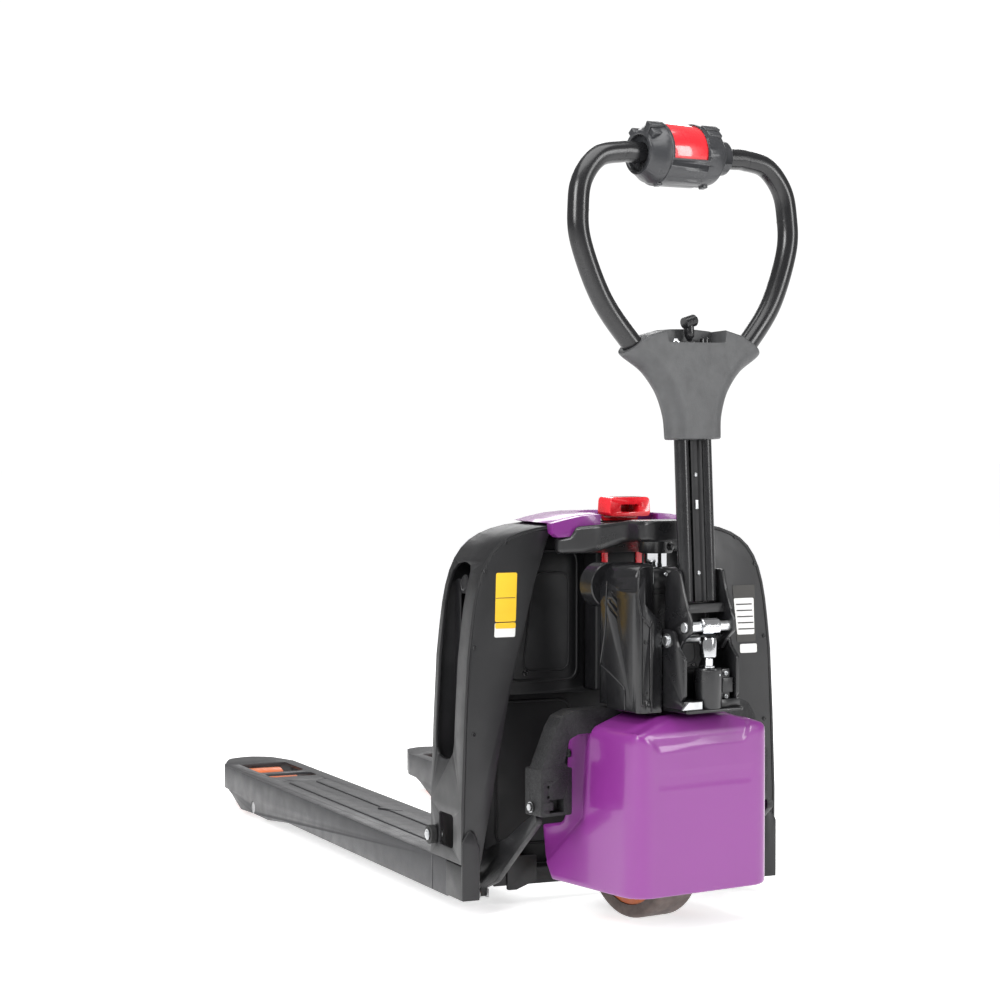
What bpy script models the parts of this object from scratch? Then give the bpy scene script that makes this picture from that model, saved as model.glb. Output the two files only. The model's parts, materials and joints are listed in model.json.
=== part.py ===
"""A semi-electric pallet truck with its tiller, drive unit, lift linkage and battery.

Metres, +Z up. The origin is the centre of the whole truck's box on the floor, and the
forks point along +Y. Everything that steers is modelled round a vertical axis through
an empty, which stands turned by the rest angle of the tiller.
"""
import math

import bmesh
import bpy
from mathutils import Matrix, Vector

OBJECT_NAME = "pallet_truck"

# Driving dimensions
GAP = 0.0003              # between pieces that touch
SHEET = 0.005             # steel sheet of the chassis and forks
FACE_Y = -0.412           # chassis face that the load meets
CHASSIS_DEPTH = 0.125
REAR_Y = FACE_Y - CHASSIS_DEPTH
CHASSIS_HALF = 0.2775
CHASSIS_TOP = 0.6075
CROWN = 0.002             # rise from the shoulder to the middle
CHASSIS_FOOT = 0.0835     # lower edge of the side strips, just above the forks
FORK_OUTER = 0.275        # half of the overall width over the forks
FORK_WIDTH = 0.150
FORK_TOP = 0.082
FORK_BOTTOM = 0.025
FORK_TAIL = 0.061         # how far the outer fork bar runs back beside the chassis
FORK_TAIL_WIDTH = 0.028
NOSE_Y = FACE_Y + 1.205
LOAD_ROLLER_RADIUS = 0.037
ARM_PIVOT_Y = FACE_Y + 0.916
ARM_PIVOT_Z = 0.024
BOGIE_Y = FACE_Y + 1.045
BOGIE_HALF = 0.045        # from the bogie's pivot to each load roller
FORK_CENTRE = FORK_OUTER - FORK_WIDTH / 2

CROSSMEMBER_TOP = 0.0565  # channel between the fork roots
SHAFT_Y = FACE_Y - 0.025  # torsion shaft of the lift linkage
SHAFT_Z = 0.042
ROCKER_X = FORK_CENTRE

STEER_Y = -0.650
REST_STEER = math.radians(10.4)
LEAN = 0.0544             # how far the tiller leans forward for each metre of height
TILLER_Y = -0.131         # where the tiller's plane would meet the floor, steered frame
TILT_Y = -0.097
TILT_Z = 0.441
CROSS_Y = -0.129
CROSS_Z = 0.462
WHEEL_Y = 0.030
WHEEL_RADIUS = 0.105
WHEEL_WIDTH = 0.068
GRIP_Z = 1.172            # crossbar of the handle loop
TUBE_RADIUS = 0.016

ROUND = 24                # sides of an ordinary round piece
SMALL = 12                # sides of a small or hidden round piece


# ---------------------------------------------------------------- scene and materials

def clear_scene():
    for obj in list(bpy.data.objects):
        bpy.data.objects.remove(obj, do_unlink=True)


def new_collection(name):
    collection = bpy.data.collections.new(name)
    bpy.context.scene.collection.children.link(collection)
    return collection


def finish(name, colour, roughness, metallic=0.0):
    material = bpy.data.materials.new(name)
    material.use_nodes = True
    shader = material.node_tree.nodes["Principled BSDF"]
    shader.inputs["Base Color"].default_value = (*colour, 1.0)
    shader.inputs["Roughness"].default_value = roughness
    shader.inputs["Metallic"].default_value = metallic
    return material


FINISHES = {
    "powder_coat": ((0.018, 0.018, 0.020), 0.45, 0.0),
    "fork_coat": ((0.030, 0.030, 0.034), 0.50, 0.0),
    "cast_black": ((0.015, 0.015, 0.016), 0.40, 0.0),
    "rough_cast": ((0.012, 0.012, 0.013), 0.75, 0.0),
    "black_plastic": ((0.012, 0.012, 0.014), 0.35, 0.0),
    "dull_plastic": ((0.022, 0.022, 0.025), 0.60, 0.0),
    "grey_plastic": ((0.050, 0.052, 0.056), 0.55, 0.0),
    "purple_plastic": ((0.420, 0.070, 0.460), 0.22, 0.0),
    "red_plastic": ((0.720, 0.020, 0.030), 0.30, 0.0),
    "chrome": ((0.800, 0.800, 0.820), 0.10, 1.0),
    "steel": ((0.450, 0.460, 0.480), 0.35, 1.0),
    "zinc_plate": ((0.550, 0.560, 0.580), 0.40, 1.0),
    "orange_tyre": ((0.640, 0.130, 0.025), 0.45, 0.0),
    "rubber": ((0.015, 0.015, 0.015), 0.80, 0.0),
}


# ---------------------------------------------------------------- modelling helpers

def add_part(name, mesh, look, parent=None):
    """A part's object, in the collection of the truck's own pieces."""
    mesh.name = name
    obj = bpy.data.objects.new(name, mesh)
    PARTS.objects.link(obj)
    obj.parent = parent
    own = LOOKS[look].copy()
    own.name = name + "_" + look
    mesh.materials.append(own)
    mesh.shade_smooth()
    mesh.set_sharp_from_angle(angle=math.radians(35))
    return obj


def add_tool(name, mesh, parent=None):
    """A cutter or a shape to join, kept out of the render."""
    mesh.name = name
    obj = bpy.data.objects.new(name, mesh)
    CUTTERS.objects.link(obj)
    obj.parent = parent
    obj.hide_render = True
    obj.display_type = "WIRE"
    return obj


def boolean(obj, tool, operation):
    modifier = obj.modifiers.new(tool.name, "BOOLEAN")
    modifier.operation = operation
    modifier.solver = "EXACT"
    modifier.object = tool


def cut(obj, mesh, name):
    boolean(obj, add_tool(obj.name + "_" + name, mesh, obj.parent), "DIFFERENCE")


def join(obj, mesh, name):
    boolean(obj, add_tool(obj.name + "_" + name, mesh, obj.parent), "UNION")


def keep_inside(obj, mesh, name):
    boolean(obj, add_tool(obj.name + "_" + name, mesh, obj.parent), "INTERSECT")


def soften(obj, width, segments=2, angle=40):
    modifier = obj.modifiers.new("soft_edges", "BEVEL")
    modifier.width = width
    modifier.segments = segments
    modifier.limit_method = "ANGLE"
    modifier.angle_limit = math.radians(angle)


def mesh_from(bm):
    bmesh.ops.recalc_face_normals(bm, faces=bm.faces)
    mesh = bpy.data.meshes.new("shape")
    bm.to_mesh(mesh)
    bm.free()
    return mesh


def box(low, high):
    low, high = Vector(low), Vector(high)
    bm = bmesh.new()
    size = Matrix.Diagonal((*(high - low), 1.0))
    bmesh.ops.create_cube(bm, size=1.0, matrix=Matrix.Translation((low + high) / 2) @ size)
    return mesh_from(bm)


def cone(start, end, radius, end_radius, sides=ROUND):
    """A straight round piece between two points."""
    start, end = Vector(start), Vector(end)
    along = end - start
    turn = along.to_track_quat("Z", "Y").to_matrix().to_4x4()
    bm = bmesh.new()
    bmesh.ops.create_cone(
        bm, cap_ends=True, segments=sides, radius1=radius, radius2=end_radius,
        depth=along.length, matrix=Matrix.Translation((start + end) / 2) @ turn)
    return mesh_from(bm)


def cylinder(start, end, radius, sides=ROUND):
    return cone(start, end, radius, radius, sides)


PLANES = {
    "XY": Matrix.Identity(4),
    "XZ": Matrix(((1, 0, 0, 0), (0, 0, -1, 0), (0, 1, 0, 0), (0, 0, 0, 1))),
    "YZ": Matrix(((0, 0, 1, 0), (1, 0, 0, 0), (0, 1, 0, 0), (0, 0, 0, 1))),
}
NORMALS = {"XY": Vector((0, 0, 1)), "XZ": Vector((0, 1, 0)), "YZ": Vector((1, 0, 0))}


def mesh_of_curve(curve):
    """The solid of a filled or bevelled curve, with its caps welded on."""
    obj = bpy.data.objects.new("curve", curve)
    PARTS.objects.link(obj)
    shape = obj.evaluated_get(bpy.context.evaluated_depsgraph_get())
    mesh = bpy.data.meshes.new_from_object(shape)
    bpy.data.objects.remove(obj)
    bm = bmesh.new()
    bm.from_mesh(mesh)
    bmesh.ops.remove_doubles(bm, verts=bm.verts, dist=1e-6)
    mesh.materials.clear()
    bmesh.ops.recalc_face_normals(bm, faces=bm.faces)
    bm.to_mesh(mesh)
    bm.free()
    return mesh


def prism(outline, plane, low, high):
    """A flat outline in one plane, extruded between two heights along its normal."""
    curve = bpy.data.curves.new("outline", "CURVE")
    curve.dimensions = "2D"
    curve.fill_mode = "BOTH"
    curve.extrude = (high - low) / 2
    spline = curve.splines.new("POLY")
    spline.points.add(len(outline) - 1)
    for point, (u, v) in zip(spline.points, outline):
        point.co = (u, v, 0.0, 1.0)
    spline.use_cyclic_u = True
    mesh = mesh_of_curve(curve)
    mesh.transform(Matrix.Translation(NORMALS[plane] * (low + high) / 2) @ PLANES[plane])
    return mesh


def tube(points, radius, resolution=3):
    """A round bar along a line of points, with flat ends."""
    curve = bpy.data.curves.new("bar", "CURVE")
    curve.dimensions = "3D"
    curve.bevel_depth = radius
    curve.bevel_resolution = resolution
    curve.use_fill_caps = True
    spline = curve.splines.new("POLY")
    spline.points.add(len(points) - 1)
    for point, place in zip(spline.points, points):
        point.co = (*place, 1.0)
    return mesh_of_curve(curve)


def turned(profile, axis_matrix, sides=ROUND):
    """A profile of (radius, height) points turned about the axis; it closes off the axis."""
    bm = bmesh.new()
    ring = [bm.verts.new((radius, 0.0, height)) for radius, height in profile]
    meets_axis = profile[0][0] == 0.0
    for first, second in zip(ring, ring[1:] + ([] if meets_axis else ring[:1])):
        bm.edges.new((first, second))
    bmesh.ops.spin(
        bm, geom=bm.verts[:] + bm.edges[:], cent=(0, 0, 0), axis=(0, 0, 1),
        angle=math.tau, steps=sides, use_merge=True, use_duplicate=False)
    bmesh.ops.remove_doubles(bm, verts=bm.verts, dist=1e-6)
    bm.transform(axis_matrix)
    return mesh_from(bm)


def upright(x, y):
    return Matrix.Translation((x, y, 0.0))


def crosswise(y, z):
    """Turned pieces whose axis lies along X: heights become X."""
    return Matrix.Translation((0.0, y, z)) @ Matrix.Rotation(math.radians(90), 4, "Y")


def rounded(corners, radius, steps=3):
    """An outline whose corners are arcs; a corner may give its own radius."""
    outline = []
    count = len(corners)
    for index, corner in enumerate(corners):
        here = Vector(corner[:2])
        before = (Vector(corners[index - 1][:2]) - here)
        after = (Vector(corners[(index + 1) % count][:2]) - here)
        bend = before.angle(after)
        arc = corner[2] if len(corner) > 2 else radius
        reach = min(arc / math.tan(bend / 2), 0.48 * min(before.length, after.length))
        if arc == 0.0 or bend > math.radians(178):
            outline.append(tuple(here))
            continue
        start = here + before.normalized() * reach
        end = here + after.normalized() * reach
        for step in range(steps + 1):
            share = step / steps
            outline.append(tuple(
                start * (1 - share) ** 2 + here * 2 * share * (1 - share) + end * share ** 2))
    return outline


def bezier(start, first, second, end, steps):
    """Points along a cubic curve, without its first one."""
    points = []
    for step in range(1, steps + 1):
        t = step / steps
        points.append(tuple(
            (1 - t) ** 3 * a + 3 * t * (1 - t) ** 2 * b + 3 * t * t * (1 - t) * c + t ** 3 * d
            for a, b, c, d in zip(start, first, second, end)))
    return points


def smooth_path(points, steps):
    """A curve through every point, for bent tubes."""
    path = [points[0]]
    ends = [points[0]] + list(points) + [points[-1]]
    for before, here, there, after in zip(ends, ends[1:], ends[2:], ends[3:]):
        if here == there:
            continue
        for step in range(1, steps + 1):
            t = step / steps
            path.append(tuple(
                0.5 * (2 * b + (c - a) * t + (2 * a - 5 * b + 4 * c - d) * t * t
                       + (3 * b - a - 3 * c + d) * t ** 3)
                for a, b, c, d in zip(before, here, there, after)))
    return path


def inset(line, distance):
    """An open line moved to its right-hand side."""
    moved = []
    for index, (u, v) in enumerate(line):
        before = line[max(index - 1, 0)]
        after = line[min(index + 1, len(line) - 1)]
        along = (Vector(after) - Vector(before)).normalized()
        moved.append((u + along.y * distance, v - along.x * distance))
    return moved


def flipped(outline, side):
    """The outline of the left or right twin, for pieces drawn on the +X side."""
    return [(side * u, v) for u, v in outline]


def link_outline(start, start_radius, end, end_radius, steps=5):
    """The outline of a flat bar with round ends."""
    start, end = Vector(start), Vector(end)
    along = end - start
    heading = math.atan2(along.y, along.x)
    lean = math.acos((start_radius - end_radius) / along.length)
    outline = []
    for centre, radius, first, last in (
            (end, end_radius, heading - lean, heading + lean),
            (start, start_radius, heading + lean, heading + math.tau - lean)):
        for step in range(steps + 1):
            angle = first + (last - first) * step / steps
            outline.append((centre.x + radius * math.cos(angle),
                            centre.y + radius * math.sin(angle)))
    return outline


SIDES = (("left", -1), ("right", 1))


# ---------------------------------------------------------------- forks

def make_forks():
    inner = FORK_OUTER - FORK_WIDTH
    tail_inner = FORK_OUTER - FORK_TAIL_WIDTH
    root = FACE_Y + GAP
    plan = [(FORK_OUTER, FACE_Y - FORK_TAIL, 0), (tail_inner, FACE_Y - FORK_TAIL, 0),
            (tail_inner, root, 0), (inner, root, 0), (inner, FACE_Y + 1.115, 0.04),
            (0.149, FACE_Y + 1.184, 0.03), (0.187, NOSE_Y + 0.003, 0.04),
            (0.236, FACE_Y + 1.190, 0.04), (FORK_OUTER, FACE_Y + 1.100, 0.06)]
    channel = [(inner + SHEET, FACE_Y - 0.01, 0), (tail_inner - 0.0005, FACE_Y - 0.01, 0),
               (tail_inner - 0.0005, FACE_Y + 0.01, 0), (FORK_OUTER - SHEET, FACE_Y + 0.02, 0),
               (FORK_OUTER - SHEET, FACE_Y + 1.100, 0.02), (0.246, FACE_Y + 1.150, 0.02),
               (0.187, FACE_Y + 1.185, 0.02), (0.150, FACE_Y + 1.155, 0.02),
               (inner + SHEET, FACE_Y + 1.110, 0.02)]
    belly = [(-0.10, -0.02), (-0.10, FORK_BOTTOM), (0.708, FORK_BOTTOM), (0.825, 0.013),
             (0.916, 0.013), (0.991, 0.010), (1.048, 0.031), (1.074, 0.038), (1.25, 0.042),
             (1.25, -0.02)]
    window = [(0.148, FACE_Y + 0.985), (0.163, FACE_Y + 0.970), (0.243, FACE_Y + 0.970),
              (0.243, FACE_Y + 1.100), (0.148, FACE_Y + 1.100)]
    slot = [(0.148, FACE_Y + 0.900), (0.242, FACE_Y + 0.900),
            (0.242, FACE_Y + 0.950), (0.148, FACE_Y + 0.950)]
    for word, side in SIDES:
        fork = add_part("fork_" + word, prism(
            flipped(rounded(plan, 0.002), side), "XY", 0.004, FORK_TOP), "fork_coat")
        cut(fork, prism([(FACE_Y + y, z) for y, z in belly], "YZ", -0.4, 0.4), "belly")
        cut(fork, prism(flipped(rounded(channel, 0.002), side), "XY",
                        -0.01, FORK_TOP - SHEET), "channel")
        cut(fork, prism(flipped(rounded(window, 0.008), side), "XY", 0.07, 0.10), "window")
        cut(fork, prism(flipped(rounded(slot, 0.012), side), "XY", 0.07, 0.10), "slot")
        cut(fork, cylinder((side * 0.11, ARM_PIVOT_Y, ARM_PIVOT_Z),
                           (side * 0.29, ARM_PIVOT_Y, ARM_PIVOT_Z), 0.0118, SMALL + 2), "pin_hole")
        cut(fork, cylinder((side * 0.240, SHAFT_Y, SHAFT_Z),
                           (side * 0.262, SHAFT_Y, SHAFT_Z), 0.0097, SMALL), "shaft_hole")


# ---------------------------------------------------------------- chassis

def chassis_line(start_z=CHASSIS_FOOT, end_x=0.060):
    """The right half of the chassis seen from behind: up the side and over the shoulder."""
    side = [(CHASSIS_HALF, start_z), (CHASSIS_HALF, 0.170), (0.273, 0.300), (0.268, 0.400),
            (0.2625, 0.450)]
    shoulder = bezier((0.2625, 0.450), (0.250, 0.565), (0.225, 0.598), (0.120, CHASSIS_TOP), 10)
    return side + shoulder + [(end_x, CHASSIS_TOP + CROWN * (1 - end_x / 0.120))]


def make_side_strips():
    line = chassis_line()
    outline = line + inset(line, -SHEET)[::-1]
    slot = rounded([(FACE_Y - 0.088, 0.240), (FACE_Y - 0.012, 0.240),
                    (FACE_Y - 0.012, 0.548), (FACE_Y - 0.088, 0.548)], 0.030)
    pocket = rounded([(FACE_Y - 0.092, 0.104), (FACE_Y - 0.034, 0.104),
                      (FACE_Y - 0.034, 0.156), (FACE_Y - 0.092, 0.156)], 0.008)
    for word, side in SIDES:
        strip = add_part("side_strip_" + word, prism(
            flipped(outline, side), "XZ", REAR_Y, FACE_Y), "powder_coat")
        for name, shape in (("slot", slot), ("pocket", pocket)):
            low, high = sorted((side * 0.20, side * 0.32))
            cut(strip, prism(shape, "YZ", low, high), name)
        cut(strip, cylinder((side * 0.26, FACE_Y - 0.016, 0.116),
                            (side * 0.30, FACE_Y - 0.016, 0.116), 0.0063), "bolt_hole")


def make_slot_frames():
    """The plastic grab panels behind the long slots in the sides."""
    outline = rounded([(FACE_Y - 0.100, 0.225), (FACE_Y - 0.006, 0.225),
                       (FACE_Y - 0.006, 0.520), (FACE_Y - 0.100, 0.520)], 0.012)
    for word, side in SIDES:
        low, high = sorted((side * 0.235, side * 0.238))
        frame = add_part("slot_panel_" + word, prism(outline, "YZ", low, high), "dull_plastic")
        for index, (bottom, top) in enumerate(((0.262, 0.330), (0.346, 0.414), (0.430, 0.498))):
            hole = rounded([(FACE_Y - 0.078, bottom), (FACE_Y - 0.028, bottom),
                            (FACE_Y - 0.028, top), (FACE_Y - 0.078, top)], 0.006)
            low, high = sorted((side * 0.22, side * 0.25))
            cut(frame, prism(hole, "YZ", low, high), "hole_" + str(index))


def make_bumpers():
    """Rubber side rollers on bolts, low at the front of the chassis sides."""
    y, z = FACE_Y - 0.016, 0.116
    for word, side in SIDES:
        bolt = add_part("bumper_bolt_" + word, cylinder(
            (side * 0.266, y, z), (side * 0.291, y, z), 0.006), "steel")
        join(bolt, cylinder((side * 0.2893, y, z), (side * 0.2930, y, z), 0.0095, 6), "head")
        side_turn = Matrix.Translation((side * 0.2835, y, z)) @ Matrix.Rotation(
            math.radians(90), 4, "Y")
        ring = [(0.0063, -0.0053), (0.0133, -0.0053), (0.0150, -0.0035), (0.0150, 0.0035),
                (0.0133, 0.0053), (0.0063, 0.0053)]
        add_part("bumper_roller_" + word, turned(ring, side_turn), "rubber")


def make_wings():
    """The flat rear plates to the left and right of the recess."""
    outer = inset(chassis_line(), -(SHEET + GAP))
    outer = [point for point in outer if point[0] > 0.127]
    edge = [(0.127, outer[-1][1]), (0.153, 0.520), (0.195, 0.350), (0.2445, CHASSIS_FOOT)]
    for word, side in SIDES:
        wing = add_part("rear_wing_" + word, prism(
            flipped(outer + edge, side), "XZ", REAR_Y, REAR_Y + SHEET), "powder_coat")
        soften(wing, 0.0006, 1, 60)


def make_gussets():
    """Corner pieces that close the lower rear corners, with a rounded tongue up the wing."""
    tongue = rounded([(0.248, 0.0275, 0), (CHASSIS_HALF, 0.0275, 0), (CHASSIS_HALF, 0.120),
                      (0.268, 0.136), (0.258, 0.136), (0.248, 0.110)], 0.008)
    for word, side in SIDES:
        gusset = add_part("corner_gusset_" + word, prism(
            flipped(tongue, side), "XZ", REAR_Y - 0.0045, REAR_Y - GAP), "powder_coat")
        low, high = sorted((side * 0.2480, side * CHASSIS_HALF))
        join(gusset, box((low, REAR_Y - 0.002, 0.0275),
                         (high, FACE_Y - FORK_TAIL - GAP, FORK_TOP)), "block")


def make_front_plate():
    outer = inset(chassis_line(), -(SHEET + GAP))
    foot = 0.2465
    right = [(foot, 0.0585), (foot, FORK_TOP + GAP)] + outer
    left = [(-u, v) for u, v in right[::-1]]
    add_part("front_plate", prism(right + left, "XZ", FACE_Y - SHEET, FACE_Y), "powder_coat")


def make_liner():
    """The moulded back of the recess: deep below for the drive unit, a battery shelf above."""
    wall = 0.003
    foot = CROSSMEMBER_TOP + GAP
    deep, shallow, shelf, top = FACE_Y - 0.009, FACE_Y - 0.079, 0.345, 0.585
    profile = [(deep, foot), (deep, shelf - wall), (shallow, shelf - wall), (shallow, top),
               (shallow - wall, top), (shallow - wall, shelf - 2 * wall),
               (deep - wall, shelf - 2 * wall), (deep - wall, foot)]
    liner = add_part("recess_liner", prism(profile, "YZ", -0.190, 0.190), "dull_plastic")
    window = rounded([(-0.0475, shelf - 0.0005), (0.0475, shelf - 0.0005), (0.0475, 0.7, 0),
                      (-0.0475, 0.7, 0)], 0.004)
    cut(liner, prism(window, "XZ", FACE_Y - 0.10, FACE_Y - 0.02), "battery_window")


def make_crossmember():
    """The channel over the torsion shaft, between the fork roots."""
    wall = 0.004
    top = CROSSMEMBER_TOP
    rear, front = FACE_Y - 0.045, FACE_Y - SHEET - GAP
    profile = [(rear, 0.030), (rear + wall, 0.030), (rear + wall, top - wall),
               (front - wall, top - wall), (front - wall, 0.030), (front, 0.030),
               (front, top), (rear, top)]
    channel = add_part("crossmember", prism(profile, "YZ", -0.188, 0.188), "powder_coat")
    tab = rounded([(0.115, 0.077), (0.115, 0.036), (0.150, 0.023), (0.166, 0.023),
                   (0.166, 0.077)], 0.003)
    for word, side in SIDES:
        join(channel, prism(flipped(tab, side), "XZ", rear - 0.004, rear + 0.001),
             "tab_" + word)


def make_top_cover():
    """The coloured cap along the top, with a hood on each side of the battery."""
    under = [point for point in inset(chassis_line(end_x=0.0), GAP) if point[0] < 0.137]
    crest = [(0.1330, 0.6105), (0.1120, 0.6160), (0.0836, 0.6215), (0.0500, 0.6245),
             (0.0, 0.6250)]
    lower = flipped(under, -1) + under[-2::-1]
    upper = crest + flipped(crest, -1)[-2::-1]
    cover = add_part("top_cover", prism(lower + upper, "XZ", REAR_Y - 0.004, FACE_Y),
                     "purple_plastic")
    cut(cover, box((-0.0475, REAR_Y - 0.05, 0.55), (0.0475, FACE_Y - 0.012, 0.70)), "opening")
    hood = rounded([(0.0500, 0.5960), (0.0550, 0.5915), (0.1230, 0.5885), (0.1310, 0.5950),
                    (0.1330, 0.6105), (0.1120, 0.6155), (0.0836, 0.6210), (0.0500, 0.6240)],
                   0.002)
    for word, side in SIDES:
        join(cover, prism(flipped(hood, side), "XZ", REAR_Y - 0.022, REAR_Y - 0.0004),
             "hood_" + word)


def make_lift_arm():
    """The casting that carries the chassis on the piston rod."""
    root = REAR_Y - 0.0004
    half = [(0.122, root, 0), (0.121, -0.553, 0.010), (0.068, -0.590, 0.030),
            (0.041, -0.635, 0.030), (0.041, -0.692, 0.040)]
    plan = rounded(half + [(-x, *rest) for x, *rest in half[::-1]], 0.01, 4)
    side = [(root, 0.562), (root, 0.5875), (REAR_Y - 0.0270, 0.5875), (REAR_Y - 0.0270, 0.607),
            (-0.610, 0.613), (-0.640, 0.618), (-0.694, 0.618), (-0.694, 0.586), (-0.625, 0.583),
            (-0.575, 0.564)]
    arm = add_part("lift_arm", prism(plan, "XY", 0.55, 0.63), "cast_black")
    keep_inside(arm, prism(side, "YZ", -0.2, 0.2), "profile")
    soften(arm, 0.004, 2)
    join(arm, box((-0.046, REAR_Y - 0.030, 0.570), (0.046, root, 0.611)), "middle")
    join(arm, cylinder((0, STEER_Y, 0.567), (0, STEER_Y, 0.595), 0.0265), "boss")
    cut(arm, cylinder((0, STEER_Y, 0.55), (0, STEER_Y, 0.598), 0.0178), "rod_socket")


def make_battery():
    rear, front = FACE_Y - 0.119, FACE_Y - 0.015
    pack = add_part("battery_pack", prism(
        rounded([(-0.0445, rear), (0.0445, rear), (0.0445, front), (-0.0445, front)], 0.006),
        "XY", 0.3455, 0.612), "black_plastic")
    soften(pack, 0.002, 1)
    outline = rounded([(-0.036, 0.6195), (0.036, 0.6195), (0.034, 0.650), (-0.034, 0.650)], 0.007)
    handle = add_part("battery_handle", prism(
        outline, "XZ", FACE_Y - 0.150, FACE_Y - 0.106), "red_plastic")
    soften(handle, 0.0015, 2)
    finger_gap = rounded([(-0.016, 0.6265), (0.016, 0.6265), (0.016, 0.6385), (-0.016, 0.6385)],
                         0.003)
    cut(handle, prism(finger_gap, "XZ", FACE_Y - 0.16, FACE_Y - 0.09), "finger_gap")
    join(handle, box((-0.030, FACE_Y - 0.1175, 0.6123), (0.030, FACE_Y - 0.1075, 0.622)), "foot")


# ---------------------------------------------------------------- lift linkage

def make_torsion_shaft():
    """The shaft whose rocker arms bear on the drive unit and push the rods."""
    shaft = add_part("torsion_shaft", cylinder(
        (-0.2612, SHAFT_Y, SHAFT_Z), (0.2612, SHAFT_Y, SHAFT_Z), 0.009, SMALL), "steel")
    arm = rounded([(-0.4220, 0.0420, 0.012), (-0.4240, 0.0280, 0.012), (-0.4450, 0.0260, 0.012),
                   (-0.5000, 0.0460, 0.04), (-0.5500, 0.0830, 0.05), (-0.6000, 0.1200, 0.05),
                   (-0.6450, 0.1520, 0.02), (-0.6570, 0.1610, 0.006), (-0.6560, 0.1735, 0.004),
                   (-0.6400, 0.1715, 0.01), (-0.5970, 0.1510, 0.05), (-0.5530, 0.1255, 0.05),
                   (-0.5000, 0.1060, 0.05), (-0.4350, 0.0800, 0.03)],
                  0.01, 4)
    lug = link_outline((SHAFT_Y, SHAFT_Z), 0.0120, (SHAFT_Y, 0.018), 0.006)
    for word, side in SIDES:
        low, high = sorted((side * (ROCKER_X - 0.005), side * (ROCKER_X + 0.005)))
        join(shaft, prism(arm, "YZ", low, high), "arm_" + word)
        join(shaft, prism(lug, "YZ", low, high), "lug_" + word)


def make_pushrods():
    rear, front = SHAFT_Y + 0.019, ARM_PIVOT_Y - 0.030
    for word, side in SIDES:
        x = side * FORK_CENTRE
        rod = add_part("pushrod_" + word, tube(
            [(x, rear, 0.018), (x, rear + 0.05, 0.0195), (x, front - 0.06, 0.044),
             (x, front, 0.0455)], 0.005), "steel")
        for name, inner, outer, low, high, gap in (
                ("rear_eye", 0.0055, 0.0088, (SHAFT_Y - 0.008, 0.011), (rear + 0.014, 0.025),
                 (SHAFT_Y - 0.018, rear)),
                ("front_eye", 0.0065, 0.0098, (front - 0.014, 0.0385), (front + 0.034, 0.0535),
                 (front, front + 0.044))):
            join(rod, box((x - outer, low[0], low[1]), (x + outer, high[0], high[1])), name)
            cut(rod, box((x - inner, gap[0], low[1] - 0.01), (x + inner, gap[1], high[1] + 0.01)),
                name + "_gap")


def make_roller_arms():
    """Each fork's load-roller arm and the bogie with its two rollers."""
    side_plate = link_outline((ARM_PIVOT_Y, ARM_PIVOT_Z), 0.015,
                              (BOGIE_Y, LOAD_ROLLER_RADIUS), 0.012)
    web = link_outline((ARM_PIVOT_Y, ARM_PIVOT_Z), 0.014, (ARM_PIVOT_Y, 0.046), 0.007)
    bogie_plate = link_outline((BOGIE_Y - BOGIE_HALF, LOAD_ROLLER_RADIUS), 0.012,
                               (BOGIE_Y + BOGIE_HALF, LOAD_ROLLER_RADIUS), 0.012)
    roller = [(0.0080, -0.0405), (0.0340, -0.0405), (0.0370, -0.0375), (0.0370, 0.0375),
              (0.0340, 0.0405), (0.0080, 0.0405)]
    for word, side in SIDES:
        x = side * FORK_CENTRE
        arm = add_part("roller_arm_" + word, cylinder(
            (x - 0.0745, ARM_PIVOT_Y, ARM_PIVOT_Z), (x + 0.0745, ARM_PIVOT_Y, ARM_PIVOT_Z),
            0.0110, SMALL), "steel")
        join(arm, prism(web, "YZ", x - 0.006, x + 0.006), "web")
        bogie = add_part("bogie_" + word, cylinder(
            (x - 0.0570, BOGIE_Y, LOAD_ROLLER_RADIUS), (x + 0.0570, BOGIE_Y, LOAD_ROLLER_RADIUS),
            0.0060, SMALL), "steel")
        for name, hand in SIDES:
            low, high = sorted((x + hand * 0.0495, x + hand * 0.0555))
            join(arm, prism(side_plate, "YZ", low, high), "plate_" + name)
            low, high = sorted((x + hand * 0.0420, x + hand * 0.0460))
            join(bogie, prism(bogie_plate, "YZ", low, high), "plate_" + name)
        cut(arm, cylinder((x - 0.08, BOGIE_Y, LOAD_ROLLER_RADIUS),
                          (x + 0.08, BOGIE_Y, LOAD_ROLLER_RADIUS), 0.0064, SMALL),
            "bogie_hole")
        for place, offset in (("rear", -BOGIE_HALF), ("front", BOGIE_HALF)):
            y = BOGIE_Y + offset
            join(bogie, cylinder((x - 0.0475, y, LOAD_ROLLER_RADIUS),
                                 (x + 0.0475, y, LOAD_ROLLER_RADIUS), 0.0075, SMALL),
                 "axle_" + place)
            turn = Matrix.Translation((x, 0, 0)) @ crosswise(y, LOAD_ROLLER_RADIUS)
            add_part("load_roller_" + place + "_" + word, turned(roller, turn), "orange_tyre")


# ---------------------------------------------------------------- drive unit (steers)

def make_piston():
    add_part("piston_rod", cylinder((0, 0, 0.395), (0, 0, 0.5975), 0.0175), "chrome", STEERED)
    profile = [(0.0, 0.3523), (0.0350, 0.3523), (0.0350, 0.365), (0.0335, 0.367),
               (0.0335, 0.505), (0.0328, 0.506), (0.0328, 0.509), (0.0335, 0.510),
               (0.0335, 0.521), (0.0350, 0.523), (0.0350, 0.541), (0.0330, 0.545),
               (0.0180, 0.545), (0.0180, 0.392), (0.0, 0.392)]
    add_part("lift_cylinder", turned(profile, upright(0, 0)), "cast_black", STEERED)


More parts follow.
